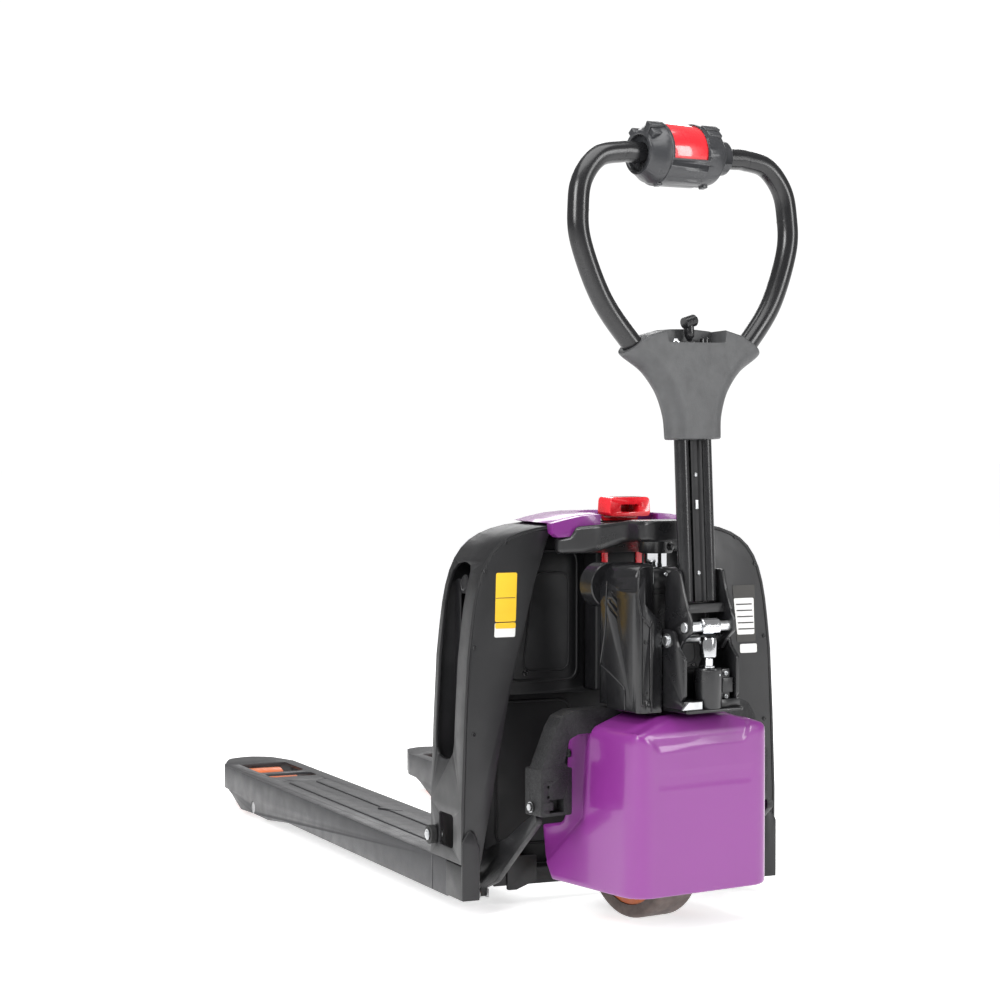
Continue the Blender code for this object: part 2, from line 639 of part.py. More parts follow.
def make_pump():
    plate = rounded([(-0.052, -0.147), (0.056, -0.147), (0.056, 0.034), (-0.052, 0.034)], 0.006)
    add_part("base_plate", prism(plate, "XY", 0.3345, 0.3395), "cast_black", STEERED)
    cheek = rounded([(-0.122, 0.3400), (-0.138, 0.3600), (-0.138, 0.4150), (-0.122, 0.4320),
                     (-0.114, 0.4560, 0.012), (-0.080, 0.4580, 0.012), (-0.068, 0.4300),
                     (-0.040, 0.3800), (-0.030, 0.3400, 0)], 0.005)
    block = add_part("pump_body", box((-0.053, -0.140, 0.3400), (0.053, 0.033, 0.3520)),
                     "cast_black", STEERED)
    for word, side in SIDES:
        low, high = sorted((side * 0.047, side * 0.053))
        join(block, prism(cheek, "YZ", low, high), "cheek_" + word)
    join(block, box((-0.050, -0.098, 0.345), (0.050, -0.0362, 0.392)), "reservoir")
    cut(block, cylinder((0, CROSS_Y, 0.33), (0, CROSS_Y, 0.42), 0.0215), "barrel_seat")
    cut(block, cylinder((-0.06, TILT_Y, TILT_Z), (0.06, TILT_Y, TILT_Z), 0.0065), "pivot_hole")
    add_part("tiller_pivot_pin", cylinder(
        (-0.0575, TILT_Y, TILT_Z), (0.0575, TILT_Y, TILT_Z), 0.0060), "zinc_plate", STEERED)
    barrel = [(0.0, 0.3398), (0.0200, 0.3398), (0.0210, 0.3410), (0.0210, 0.3985),
              (0.0200, 0.4000), (0.0138, 0.4000), (0.0138, 0.3445), (0.0, 0.3445)]
    add_part("pump_barrel", turned(barrel, upright(0, CROSS_Y)), "cast_black", STEERED)
    plunger = [(0.0, 0.3985), (0.0090, 0.3985), (0.0090, 0.4130), (0.0130, 0.4140),
               (0.0130, 0.4435), (0.0118, 0.4455), (0.0, 0.4455)]
    add_part("pump_plunger", turned(plunger, upright(0, CROSS_Y)), "chrome", STEERED)


def make_yoke():
    """The cast arch over the drive wheel, with a block at each foot."""
    half = [(0.0, 0.3335, 0), (0.158, 0.3335, 0.014), (0.180, 0.3260, 0.014),
            (0.191, 0.3100, 0.02), (0.2180, 0.2500), (0.2195, 0.2300), (0.163, 0.2300),
            (0.163, 0.2440), (0.176, 0.2560), (0.168, 0.2900, 0.012), (0.150, 0.2975),
            (0.0, 0.2985, 0)]
    outline = rounded(half, 0.004)
    outline += flipped(outline, -1)[-2:0:-1]
    yoke = add_part("arch_yoke", prism(outline, "XZ", -0.006, 0.026), "rough_cast", STEERED)
    join(yoke, cylinder((0, 0, 0.2988), (0, 0, 0.3330), 0.048), "hub")
    foot = rounded([(0.163, 0.177), (0.2205, 0.177), (0.2205, 0.2490), (0.163, 0.2490)], 0.004)
    for word, side in SIDES:
        join(yoke, prism(flipped(foot, side), "XZ", -0.0065, 0.034), "foot_" + word)
        low, high = sorted((side * 0.2145, side * 0.2255))
        join(yoke, cylinder((low, 0.018, 0.190), (high, 0.018, 0.190), 0.0065, 20), "pin_" + word)
        window = box((side * 0.191 - 0.013, -0.02, 0.182), (side * 0.191 + 0.013, 0.012, 0.202))
        cut(yoke, window, "window_" + word)


def make_drive():
    frame = rounded([(-0.042, 0.225), (-0.042, 0.190), (WHEEL_Y - 0.022, 0.085, 0.02),
                     (WHEEL_Y + 0.022, 0.085, 0.02), (0.056, 0.190), (0.056, 0.225)], 0.006)
    fork = add_part("drive_frame", box((-0.0445, -0.042, 0.214), (0.0445, 0.056, 0.225)),
                    "powder_coat", STEERED)
    for word, side in SIDES:
        low, high = sorted((side * 0.0375, side * 0.0445))
        join(fork, prism(frame, "YZ", low, high), "plate_" + word)
    join(fork, cylinder((0, 0, 0.2200), (0, 0, 0.2982), 0.042), "column")
    cut(fork, cylinder((-0.06, WHEEL_Y, WHEEL_RADIUS), (0.06, WHEEL_Y, WHEEL_RADIUS), 0.0105),
        "axle_hole")
    for name, start, end, radius in (("drive_motor", -0.0448, -0.1240, 0.046),
                                     ("brake_housing", 0.0448, 0.0800, 0.040)):
        lump = add_part(name, cylinder((start, WHEEL_Y, WHEEL_RADIUS),
                                       (end, WHEEL_Y, WHEEL_RADIUS), radius), "cast_black",
                        STEERED)
        soften(lump, 0.004, 2)
    turn = crosswise(WHEEL_Y, WHEEL_RADIUS)
    half = [(0.0, -0.0443), (0.0100, -0.0443), (0.0100, -0.0340), (0.0280, -0.0320),
            (0.0300, -0.0190), (0.0700, -0.0190), (0.0740, -0.0300), (0.0842, -0.0300)]
    hub = half + [(radius, -x) for radius, x in half[::-1]]
    add_part("drive_hub", turned(hub, turn, 32), "orange_tyre", STEERED)
    edge = WHEEL_WIDTH / 2
    tyre = [(0.0845, -edge + 0.002), (0.0980, -edge), (0.1035, -edge + 0.003),
            (WHEEL_RADIUS, -edge + 0.008), (WHEEL_RADIUS, edge - 0.008),
            (0.1035, edge - 0.003), (0.0980, edge), (0.0845, edge - 0.002)]
    add_part("drive_tyre", turned(tyre, turn, 32), "rubber", STEERED)


def cover_shape(s, foot):
    """Outlines of the drive cover from above, behind and the side, each drawn in by s."""
    plan = rounded([(-0.135 + s, -0.127 + s, 0.022), (0.135 - s, -0.127 + s, 0.022),
                    (0.135 - s, 0.16), (-0.135 + s, 0.16)], 0.002, 6)
    right = [(0.135 - s, 0.040), (0.135 - s, 0.062), (0.1325 - s, 0.200, 0.1),
             (0.1285 - s, 0.305 - s, 0.018), (0.060, 0.328 - s, 0.05)]
    behind = rounded(right + [(-u, *rest) for u, *rest in right[::-1]], 0.004, 5)
    side = rounded([(-0.127 + s, foot, 0), (0.091, foot),
                    (0.112 - s, 0.090, 0.03), (0.121 - s, 0.144 - s), (0.0605 - s, 0.156 - s, 0.02),
                    (0.0570 - s, 0.330 - s, 0.012), (-0.104 + s, 0.331 - s, 0.030),
                    (-0.126 + s, 0.302 - s, 0.025)], 0.004, 5)
    return plan, behind, side


def make_drive_cover():
    wall = 0.0035
    plan, behind, side = cover_shape(0.0, 0.060)
    cover = add_part("drive_cover", prism(behind, "XZ", -0.2, 0.2), "purple_plastic", STEERED)
    keep_inside(cover, prism(side, "YZ", -0.2, 0.2), "side")
    keep_inside(cover, prism(plan, "XY", 0.0, 0.5), "plan")
    plan, behind, side = cover_shape(wall, 0.030)
    hollow = add_tool("drive_cover_hollow", prism(behind, "XZ", -0.19, 0.19), STEERED)
    keep_inside(hollow, prism(side, "YZ", -0.21, 0.21), "side")
    keep_inside(hollow, prism(plan, "XY", -0.01, 0.51), "plan")
    boolean(cover, hollow, "DIFFERENCE")
    cut(cover, box((-0.25, -0.0072, 0.297), (0.25, 0.20, 0.36)), "arch_room")
    cut(cover, box((-0.10, 0.040, 0.025), (0.10, 0.20, 0.36)), "front_opening")
    cut(cover, box((-0.118, 0.060, 0.030), (0.118, 0.20, 0.36)), "wheel_opening")
    cut(cover, cylinder((0, 0, 0.28), (0, 0, 0.36), 0.050), "column_room")


def make_controller_shell():
    outline = rounded([(-0.100, 0.3325), (-0.0538, 0.3325, 0.002), (-0.0538, 0.4600),
                       (-0.0300, 0.4900, 0.02), (-0.0300, 0.5530), (-0.0800, 0.5530, 0.02),
                       (-0.1000, 0.5100, 0.03)], 0.004)
    plan = rounded([(-0.100, -0.080, 0.02), (-0.090, -0.090, 0.02), (-0.0538, -0.090, 0.006),
                    (-0.0538, -0.030, 0.004), (-0.0300, -0.026), (-0.0300, 0.022),
                    (-0.100, 0.014, 0.01)], 0.004)
    shell = add_part("controller_cover", prism(outline, "XZ", -0.12, 0.06), "black_plastic",
                     STEERED)
    keep_inside(shell, prism(plan, "XY", 0.3, 0.6), "plan")
    bay = rounded([(-0.0880, 0.4950), (-0.0600, 0.4700), (-0.0500, 0.4700), (-0.0500, 0.56),
                   (-0.0880, 0.56)], 0.006)
    cut(shell, prism(bay, "XZ", -0.13, -0.064), "bay")
    cut(shell, box((-0.15, -0.0100, 0.30), (0.0, 0.10, 0.3402)), "yoke_room")
    cut(shell, cylinder((0, 0, 0.32), (0, 0, 0.57), 0.0362, 32), "cylinder_room")


# ---------------------------------------------------------------- tiller (tilts)

def make_tiller_bracket():
    ear = rounded([(-0.113, 0.546), (-0.122, 0.516, 0.03), (-0.134, 0.487, 0.03),
                   (-0.141, 0.472), (-0.141, 0.455), (-0.124, 0.442), (-0.113, 0.426),
                   (-0.097, 0.423), (-0.083, 0.428), (-0.079, 0.445), (-0.082, 0.530, 0.01),
                   (-0.096, 0.546, 0.003)], 0.006)
    bracket = add_part("tiller_bracket", box((-0.041, -0.122, 0.4825), (0.041, -0.086, 0.4955)),
                       "cast_black", STEERED)
    for word, side in SIDES:
        low, high = sorted((side * 0.038, side * 0.044))
        join(bracket, prism(ear, "YZ", low, high), "ear_" + word)
    cut(bracket, cylinder((-0.06, TILT_Y, TILT_Z), (0.06, TILT_Y, TILT_Z), 0.0065), "pivot")
    cut(bracket, cylinder((-0.06, CROSS_Y, CROSS_Z), (0.06, CROSS_Y, CROSS_Z), 0.0081), "cross")
    add_part("cross_shaft", cylinder(
        (-0.0465, CROSS_Y, CROSS_Z), (0.0465, CROSS_Y, CROSS_Z), 0.00775), "steel", STEERED)
    ring = [(0.00805, -0.0135), (0.01125, -0.0135), (0.01225, -0.0125), (0.01225, 0.0125),
            (0.01125, 0.0135), (0.00805, 0.0135)]
    add_part("pump_roller", turned(ring, crosswise(CROSS_Y, CROSS_Z)), "chrome", STEERED)


def make_tiller_column():
    foot, head = 0.4985, 0.7425
    for word, side in SIDES:
        add_part("tiller_tube_" + word, cylinder(
            (side * 0.022, 0, foot), (side * 0.022, 0, head), 0.0110), "black_plastic", TILLER)
    channel = add_part("cable_channel", box((-0.0106, -0.008, foot), (0.0106, 0.006, head)),
                       "dull_plastic", TILLER)
    soften(channel, 0.002, 1)


LOOP_HALF = [(0.082, 0.862), (0.109, 0.886), (0.162, 0.951), (0.197, 1.035), (0.1995, 1.090),
             (0.190, 1.130), (0.160, 1.1625), (0.118, 1.1715), (0.095, GRIP_Z), (0.050, GRIP_Z)]


def loop_path(steps):
    half = smooth_path([(x, 0.0, z) for x, z in LOOP_HALF], steps)
    return half + [(-x, y, z) for x, y, z in half[::-1]]


def make_handle():
    add_part("handle_loop", tube(loop_path(3), TUBE_RADIUS, 3), "black_plastic", TILLER)
    wrap_radius = 0.0235
    wrap = smooth_path([(0.0240, 0.7200), (0.0245, 0.7475), (0.0276, 0.7834), (0.0426, 0.8238),
                        (0.0721, 0.8603), (0.1075, 0.8835), (0.1095, 0.8862)], 3)
    half = wrap[2:-3] + [(0.0885, 0.8990), (0.0500, 0.9090), (0.0, 0.9105)]
    outline = half + flipped(half, -1)[-2::-1]
    half_depth = wrap_radius - 0.0005
    cover = add_part("tiller_cover", prism(outline, "XZ", -half_depth, half_depth),
                     "grey_plastic", TILLER)
    for word, side in SIDES:
        join(cover, tube([(side * x, 0.0, z) for x, z in wrap], wrap_radius, 4),
             "wrap_" + word)
        cut(cover, cylinder((side * 0.08178, 0, 0.86180), (side * 0.0850, 0, 0.86467),
                            TUBE_RADIUS + 0.0006), "loop_end_" + word)
    cut(cover, box((-0.10, -0.05, 0.60), (0.10, 0.05, 0.7430)), "foot")
    cut(cover, tube(loop_path(3), TUBE_RADIUS + 0.0006, 3), "loop_room")
    recess = rounded([(-0.0660, 0.930, 0), (0.0580, 0.930, 0), (0.0505, 0.8880),
                      (-0.0575, 0.8880)], 0.004)
    cut(cover, prism(recess, "XZ", -0.030, 0.014), "recess")
    cut(cover, box((-0.0048, -0.0090, 0.8820), (0.0048, 0.0090, 0.9200)), "knob_slot")
    cut(cover, cylinder((0.029, 0.0, 0.8800), (0.029, 0.0, 0.9200), 0.0078, 20), "button_hole")


def make_small_controls():
    knob = add_part("release_knob", cylinder((0, 0, 0.8860), (0, 0, 0.9180), 0.0040, 16),
                    "black_plastic", TILLER)
    join(knob, cone((-0.009, 0, 0.9200), (0.013, 0, 0.9230), 0.0085, 0.0100, 24), "head")
    button = [(0.0, 0.8860), (0.0074, 0.8860), (0.0074, 0.8950), (0.0060, 0.8970), (0.0, 0.8970)]
    add_part("horn_button", turned(button, upright(0.029, 0), 24), "black_plastic", TILLER)
    dome = [(0.0, 0.8883), (0.0065, 0.8883), (0.0065, 0.8920), (0.0045, 0.8955), (0.0, 0.8965)]
    add_part("charge_indicator", turned(dome, upright(-0.026, 0), 24), "chrome", TILLER)


def make_control_head():
    grip = crosswise(0.0, GRIP_Z)
    bore = TUBE_RADIUS + 0.0006
    body = [(bore, -0.087), (0.0330, -0.087), (0.0450, -0.066), (0.0465, -0.058),
            (0.0465, 0.033), (0.0430, 0.045), (0.0300, 0.059), (0.0255, 0.061),
            (0.0240, 0.0755), (bore, 0.0755)]
    head = add_part("control_head", turned(body, grip, 20), "dull_plastic", TILLER)
    slot = [(0.0300, -0.0495), (0.0700, -0.0495), (0.0700, 0.0215), (0.0300, 0.0215)]
    slot_shape = add_tool("control_head_slot", turned(slot, grip, 32), TILLER)
    keep_inside(slot_shape, sector(-31.0, 154.0, -0.06, 0.05), "reach")
    boolean(head, slot_shape, "DIFFERENCE")
    for index, (x, angle) in enumerate(((-0.0660, 80.0), (0.0380, 80.0), (-0.0660, 127.0))):
        turn = Matrix.Translation((0, 0, GRIP_Z)) @ Matrix.Rotation(
            math.radians(90 - angle), 4, "X")
        ear = box((x - 0.012, -0.007, 0.030), (x + 0.012, 0.007, 0.0480))
        ear.transform(turn)
        join(head, ear, "ear_" + str(index))
    ring = [(0.0310, -0.0470), (0.0460, -0.0470), (0.0475, -0.0450), (0.0475, 0.0170),
            (0.0460, 0.0190), (0.0310, 0.0190)]
    throttle = add_part("throttle_roller", turned(ring, grip, 48), "red_plastic", TILLER)
    keep_inside(throttle, sector(-15.0, 138.0, -0.06, 0.06), "reach")


def sector(first, last, low, high):
    """A wedge round the grip's axis; angles run from the rear over the top."""
    reach = 0.12
    steps = 12
    outline = [(0.0, GRIP_Z)]
    for step in range(steps + 1):
        angle = math.radians(first + (last - first) * step / steps)
        outline.append((-reach * math.cos(angle), GRIP_Z + reach * math.sin(angle)))
    return prism(outline[::-1], "YZ", low, high)


def new_empty(name, parent, location, rotation):
    empty = bpy.data.objects.new(name, None)
    PARTS.objects.link(empty)
    empty.parent = parent
    empty.location = location
    empty.rotation_euler = rotation
    return empty


clear_scene()
PARTS = new_collection(OBJECT_NAME)
CUTTERS = new_collection(OBJECT_NAME + "_cutters")
LOOKS = {name: finish(name, *values) for name, values in FINISHES.items()}
STEERED = new_empty("steering_axis", None, (0.0, STEER_Y, 0.0), (0.0, 0.0, REST_STEER))
TILLER = new_empty("tiller_frame", STEERED, (0.0, TILLER_Y, 0.0), (-math.atan(LEAN), 0.0, 0.0))

make_forks()
make_side_strips()
make_slot_frames()
make_bumpers()
make_wings()
make_gussets()
make_front_plate()
make_liner()
make_crossmember()
make_top_cover()
make_lift_arm()
make_battery()
make_torsion_shaft()
make_pushrods()
make_roller_arms()
make_piston()
make_pump()
make_yoke()
make_drive()
make_drive_cover()
make_controller_shell()
make_tiller_bracket()
make_tiller_column()
make_handle()
make_small_controls()
make_control_head()
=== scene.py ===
"""Looks of a semi-electric pallet truck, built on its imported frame.

Metres, +Z up, forks along +Y. STEERED is the frame of everything that steers, and TILLER
is the frame of the leaning tiller on it.
"""
import json
import math

import bmesh
import bpy
import numpy as np
from mathutils import Matrix, Vector

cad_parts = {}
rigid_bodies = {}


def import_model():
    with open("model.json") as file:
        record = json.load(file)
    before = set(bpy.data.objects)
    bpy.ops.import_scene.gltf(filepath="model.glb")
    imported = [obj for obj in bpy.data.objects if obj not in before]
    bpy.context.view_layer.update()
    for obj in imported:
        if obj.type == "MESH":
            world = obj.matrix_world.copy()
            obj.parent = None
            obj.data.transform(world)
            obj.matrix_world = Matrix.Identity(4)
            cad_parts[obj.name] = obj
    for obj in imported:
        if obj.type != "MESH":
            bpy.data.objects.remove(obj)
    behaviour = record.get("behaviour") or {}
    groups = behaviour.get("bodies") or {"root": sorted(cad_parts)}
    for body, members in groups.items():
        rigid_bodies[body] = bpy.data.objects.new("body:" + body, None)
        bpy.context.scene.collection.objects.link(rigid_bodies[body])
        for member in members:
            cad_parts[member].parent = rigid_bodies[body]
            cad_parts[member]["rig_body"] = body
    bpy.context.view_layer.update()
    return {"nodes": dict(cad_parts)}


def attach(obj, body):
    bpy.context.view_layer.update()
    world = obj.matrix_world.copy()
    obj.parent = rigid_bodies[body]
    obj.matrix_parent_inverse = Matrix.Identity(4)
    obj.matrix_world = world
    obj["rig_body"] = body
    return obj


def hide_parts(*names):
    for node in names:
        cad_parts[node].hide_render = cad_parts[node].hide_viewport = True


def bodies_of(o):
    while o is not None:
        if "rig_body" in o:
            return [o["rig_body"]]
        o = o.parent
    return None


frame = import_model()

FACE_Y = -0.412           # chassis face that the load meets
REAR_Y = -0.537           # rear face of the chassis wings
FORK_TOP = 0.082
CROSS_Y, CROSS_Z = -0.129, 0.462
WHEEL_Y, WHEEL_Z = 0.03, 0.105
GRIP_Z = 1.172
PIVOT_Y, PIVOT_Z = -0.097, 0.441
BUMPER_Y, BUMPER_Z = FACE_Y - 0.016, 0.116
LOAD_ROLLER_X, LOAD_ROLLER_Z = 0.2, 0.037
TUBE_RADIUS = 0.016
COVER_WALL = 0.0032
FILM = 0.0004             # thickness of a printed film
CAMERA_PLACE = (-1.781, -4.119, 0.782)
CAMERA_TURN = (math.radians(88.03), 0.0, math.radians(-23.65))
CAMERA_LENS = 91.04

STEERED = Matrix.Translation((0, -0.65, 0)) @ Matrix.Rotation(math.radians(10.4), 4, "Z")
TILLER = (STEERED @ Matrix.Translation((0, -0.131, 0))
          @ Matrix.Rotation(-math.atan(0.0544), 4, "X"))
WORLD = Matrix.Identity(4)
SIDES = (("left", -1), ("right", 1))


# ---------------- materials

def add(tree, kind, inputs=None, **settings):
    node = tree.nodes.new("ShaderNode" + kind)
    for key, value in settings.items():
        setattr(node, key, value)
    for key, value in (inputs or {}).items():
        node.inputs[key].default_value = value
    return node


def scaled(colour, factor):
    return tuple(min(part * factor, 1.0) for part in colour) + (1.0,)


def surface(name, colour, roughness, metallic=0.0, mottle=(14.0, 0.1), spread=0.06,
            grains=((900.0, 0.00004),), stretch=(1, 1, 1), cells=None, dust=0.0,
            **shader_values):
    """A finish: mottled colour, uneven gloss and one or more sizes of grain in its bump."""
    material = bpy.data.materials.new(name)
    material.use_nodes = True
    tree = material.node_tree
    link = tree.links.new
    shader = tree.nodes["Principled BSDF"]
    shader.inputs["Metallic"].default_value = metallic
    for key, value in shader_values.items():
        shader.inputs[key.replace("_", " ")].default_value = value
    place = add(tree, "TexCoord").outputs["Object"]
    mapping = add(tree, "Mapping", {"Scale": stretch})
    link(place, mapping.inputs["Vector"])

    patches = add(tree, "TexNoise", {"Scale": mottle[0], "Detail": 4.0, "Roughness": 0.6})
    link(mapping.outputs["Vector"], patches.inputs["Vector"])
    ramp = add(tree, "ValToRGB")
    ramp.color_ramp.elements[0].position = 0.3
    ramp.color_ramp.elements[1].position = 0.7
    ramp.color_ramp.elements[0].color = scaled(colour, 1.0 - mottle[1])
    ramp.color_ramp.elements[1].color = scaled(colour, 1.0 + mottle[1])
    link(patches.outputs["Fac"], ramp.inputs["Fac"])
    shade = ramp.outputs["Color"]
    if dust:
        above = add(tree, "NewGeometry")
        lift = add(tree, "SeparateXYZ")
        link(above.outputs["Normal"], lift.inputs["Vector"])
        specks = add(tree, "TexNoise", {"Scale": 60.0, "Detail": 6.0, "Roughness": 0.7})
        link(place, specks.inputs["Vector"])
        amount = add(tree, "MapRange", {"From Min": 0.45, "From Max": 0.8, "To Max": dust})
        link(specks.outputs["Fac"], amount.inputs["Value"])
        facing = add(tree, "Math", operation="MULTIPLY", use_clamp=True)
        link(lift.outputs["Z"], facing.inputs[0])
        link(amount.outputs["Result"], facing.inputs[1])
        mix = add(tree, "Mix", data_type="RGBA")
        mix.inputs["B"].default_value = (0.3, 0.29, 0.28, 1.0)
        link(facing.outputs["Value"], mix.inputs["Factor"])
        link(shade, mix.inputs["A"])
        shade = mix.outputs["Result"]
    link(shade, shader.inputs["Base Color"])

    smears = add(tree, "TexNoise", {"Scale": mottle[0] * 2.3, "Detail": 3.0})
    link(mapping.outputs["Vector"], smears.inputs["Vector"])
    gloss = add(tree, "MapRange", {"From Min": 0.3, "From Max": 0.7,
                                   "To Min": max(roughness - spread, 0.02),
                                   "To Max": min(roughness + spread, 1.0)})
    link(smears.outputs["Fac"], gloss.inputs["Value"])
    link(gloss.outputs["Result"], shader.inputs["Roughness"])

    normal = None
    for scale, height in grains:
        grain = add(tree, "TexNoise", {"Scale": scale, "Detail": 2.0, "Roughness": 0.55})
        link(mapping.outputs["Vector"], grain.inputs["Vector"])
        normal = bumped(tree, grain.outputs["Fac"], height, normal)
    if cells:
        scale, height = cells
        pebbles = add(tree, "TexVoronoi", {"Scale": scale}, feature="SMOOTH_F1")
        link(place, pebbles.inputs["Vector"])
        normal = bumped(tree, pebbles.outputs["Distance"], height, normal)
    link(normal, shader.inputs["Normal"])
    return material


def bumped(tree, height, distance, under):
    bump = add(tree, "Bump", {"Strength": 1.0, "Distance": distance})
    tree.links.new(height, bump.inputs["Height"])
    if under is not None:
        tree.links.new(under, bump.inputs["Normal"])
    return bump.outputs["Normal"]


LOOKS = {
    "powder_coat": surface(
        "powder_coat_black", (0.009, 0.009, 0.01), 0.44, spread=0.05, grains=((1500.0, 0.00008),),
        dust=0.01),
    "fork_coat": surface(
        "powder_coat_charcoal", (0.034, 0.034, 0.037), 0.44, spread=0.06,
        grains=((1300.0, 0.0001), (90.0, 0.00006)), dust=0.04),
    "cast_black": surface(
        "enamelled_casting", (0.01, 0.01, 0.011), 0.3, spread=0.05,
        grains=((220.0, 0.00008), (1100.0, 0.00005))),
    "rough_cast": surface(
        "sand_casting", (0.009, 0.009, 0.01), 0.55, mottle=(90.0, 0.35), spread=0.12,
        grains=((420.0, 0.0008), (1400.0, 0.0003)), cells=(700.0, 0.0003), dust=0.02,
        Specular_IOR_Level=0.4),
    "black_plastic": surface(
        "gloss_moulding", (0.009, 0.009, 0.01), 0.24, spread=0.04, grains=((900.0, 0.00003),)),
    "dull_plastic": surface(
        "satin_moulding", (0.006, 0.006, 0.007), 0.48, spread=0.08, grains=((1100.0, 0.00008),),
        cells=(1500.0, 0.00005), Specular_IOR_Level=0.35),
    "head_plastic": surface(
        "grey_satin_moulding", (0.03, 0.031, 0.034), 0.32, spread=0.05, grains=((1300.0, 0.00006),),
        cells=(1500.0, 0.00005)),
    "grey_plastic": surface(
        "spark_textured_moulding", (0.062, 0.063, 0.065), 0.5, mottle=(40.0, 0.14),
        grains=((1500.0, 0.0001),), cells=(1100.0, 0.00016)),
    "purple_plastic": surface(
        "purple_gloss", (0.195, 0.024, 0.208), 0.34, mottle=(4.0, 0.03), spread=0.02,
        grains=((1100.0, 0.00001),), Coat_Weight=0.35, Coat_Roughness=0.08),
    "red_plastic": surface(
        "red_gloss", (0.7, 0.01, 0.02), 0.28, mottle=(30.0, 0.06), spread=0.05,
        grains=((900.0, 0.00001),), Coat_Weight=0.9, Coat_Roughness=0.06),
    "chrome": surface(
        "hard_chrome", (0.78, 0.79, 0.81), 0.09, 1.0, mottle=(60.0, 0.06), spread=0.04,
        grains=((300.0, 0.00002),)),
    "steel": surface(
        "turned_steel", (0.42, 0.42, 0.43), 0.34, 1.0, mottle=(70.0, 0.2), spread=0.1,
        grains=((500.0, 0.00008),), stretch=(6, 1, 1)),
    "zinc_plate": surface(
        "zinc_plating", (0.56, 0.57, 0.58), 0.4, 1.0, mottle=(45.0, 0.16), spread=0.12,
        grains=((300.0, 0.00006),)),
    "tube_black": surface(
        "satin_tube_paint", (0.01, 0.01, 0.011), 0.25, spread=0.04, grains=((900.0, 0.00003),)),
    "orange_tyre": surface(
        "orange_polyurethane", (0.56, 0.12, 0.022), 0.42, mottle=(35.0, 0.18), spread=0.1,
        grains=((250.0, 0.00015),), Subsurface_Weight=0.12, Subsurface_Scale=0.004),
    "tread": surface(
        "worn_tread", (0.115, 0.088, 0.078), 0.62, mottle=(50.0, 0.28), spread=0.1,
        grains=((300.0, 0.0003), (900.0, 0.0001))),
    "rubber": surface(
        "black_rubber", (0.014, 0.014, 0.014), 0.68, mottle=(60.0, 0.25),
        grains=((700.0, 0.00015),)),
    "label_white": surface(
        "printed_film_white", (0.82, 0.82, 0.8), 0.35, mottle=(30.0, 0.02),
        grains=((400.0, 0.00002),)),
    "label_yellow": surface(
        "printed_film_yellow", (0.86, 0.52, 0.02), 0.34, mottle=(30.0, 0.03),
        grains=((400.0, 0.00002),)),
    "label_ink": surface(
        "printed_ink", (0.035, 0.033, 0.03), 0.4, mottle=(60.0, 0.1), grains=((400.0, 0.00002),)),
}


# ---------------- making pieces

def piece(name, mesh, look, body, place=WORLD, replaces=(), slot=None, smooth=38.0):
    """An object that rides on a body, with its mesh moved to its place."""
    mesh.name = name
    mesh.transform(place)
    if place.to_3x3().determinant() < 0:
        mesh.flip_normals()
    obj = linked(name, mesh)
    mesh.materials.clear()
    mesh.materials.append(LOOKS[look])
    mesh.shade_smooth()
    mesh.set_sharp_from_angle(angle=math.radians(smooth))
    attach(obj, body)
    if replaces:
        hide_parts(*replaces)
    return obj


def on_drive_unit(name, mesh, look, *replaces, **settings):
    """A piece drawn in the steered frame that rides on the drive unit."""
    return piece(name, mesh, look, "drive_unit", STEERED, replaces, **settings)


def on_tiller(name, mesh, look, *replaces, **settings):
    """A piece drawn along the tiller that rides on it."""
    return piece(name, mesh, look, "tiller", TILLER, replaces, **settings)


def linked(name, data):
    """A new object in the scene."""
    obj = bpy.data.objects.new(name, data)
    bpy.context.scene.collection.objects.link(obj)
    return obj


def evaluated(obj):
    """An object's final shape as a bare mesh; the object itself is removed."""
    shape = obj.evaluated_get(bpy.context.evaluated_depsgraph_get())
    mesh = bpy.data.meshes.new_from_object(shape)
    bpy.data.objects.remove(obj)
    mesh.materials.clear()
    return mesh


def mesh_from(bm):
    bmesh.ops.recalc_face_normals(bm, faces=bm.faces)
    mesh = bpy.data.meshes.new("shape")
    bm.to_mesh(mesh)
    bm.free()
    return mesh


def box(low, high, bevel=0.0, segments=3):
    low, high = Vector(low), Vector(high)
    bm = bmesh.new()
    size = Matrix.Diagonal((*(high - low), 1.0))
    bmesh.ops.create_cube(bm, size=1.0, matrix=Matrix.Translation((low + high) / 2) @ size)
    if bevel:
        bmesh.ops.bevel(bm, geom=bm.edges[:], offset=bevel, segments=segments,
                        affect="EDGES", profile=0.5)
    return mesh_from(bm)


PLANES = {
    "XY": Matrix.Identity(4),
    "XZ": Matrix(((1, 0, 0, 0), (0, 0, -1, 0), (0, 1, 0, 0), (0, 0, 0, 1))),
    "YZ": Matrix(((0, 0, 1, 0), (1, 0, 0, 0), (0, 1, 0, 0), (0, 0, 0, 1))),
}
NORMALS = {"XY": Vector((0, 0, 1)), "XZ": Vector((0, 1, 0)), "YZ": Vector((1, 0, 0))}


def line_curve(points, dimensions, closed):
    """A curve of straight lengths through its points."""
    curve = bpy.data.curves.new("line", "CURVE")
    curve.dimensions = dimensions
    spline = curve.splines.new("POLY")
    spline.points.add(len(points) - 1)
    for point, place in zip(spline.points, points):
        point.co = (*place, 1.0)
    spline.use_cyclic_u = closed
    return curve


def mesh_of_curve(curve):
    mesh = evaluated(linked("curve", curve))
    bm = bmesh.new()
    bm.from_mesh(mesh)
    bmesh.ops.remove_doubles(bm, verts=bm.verts, dist=1e-6)
    bmesh.ops.recalc_face_normals(bm, faces=bm.faces)
    bm.to_mesh(mesh)
    bm.free()
    return mesh


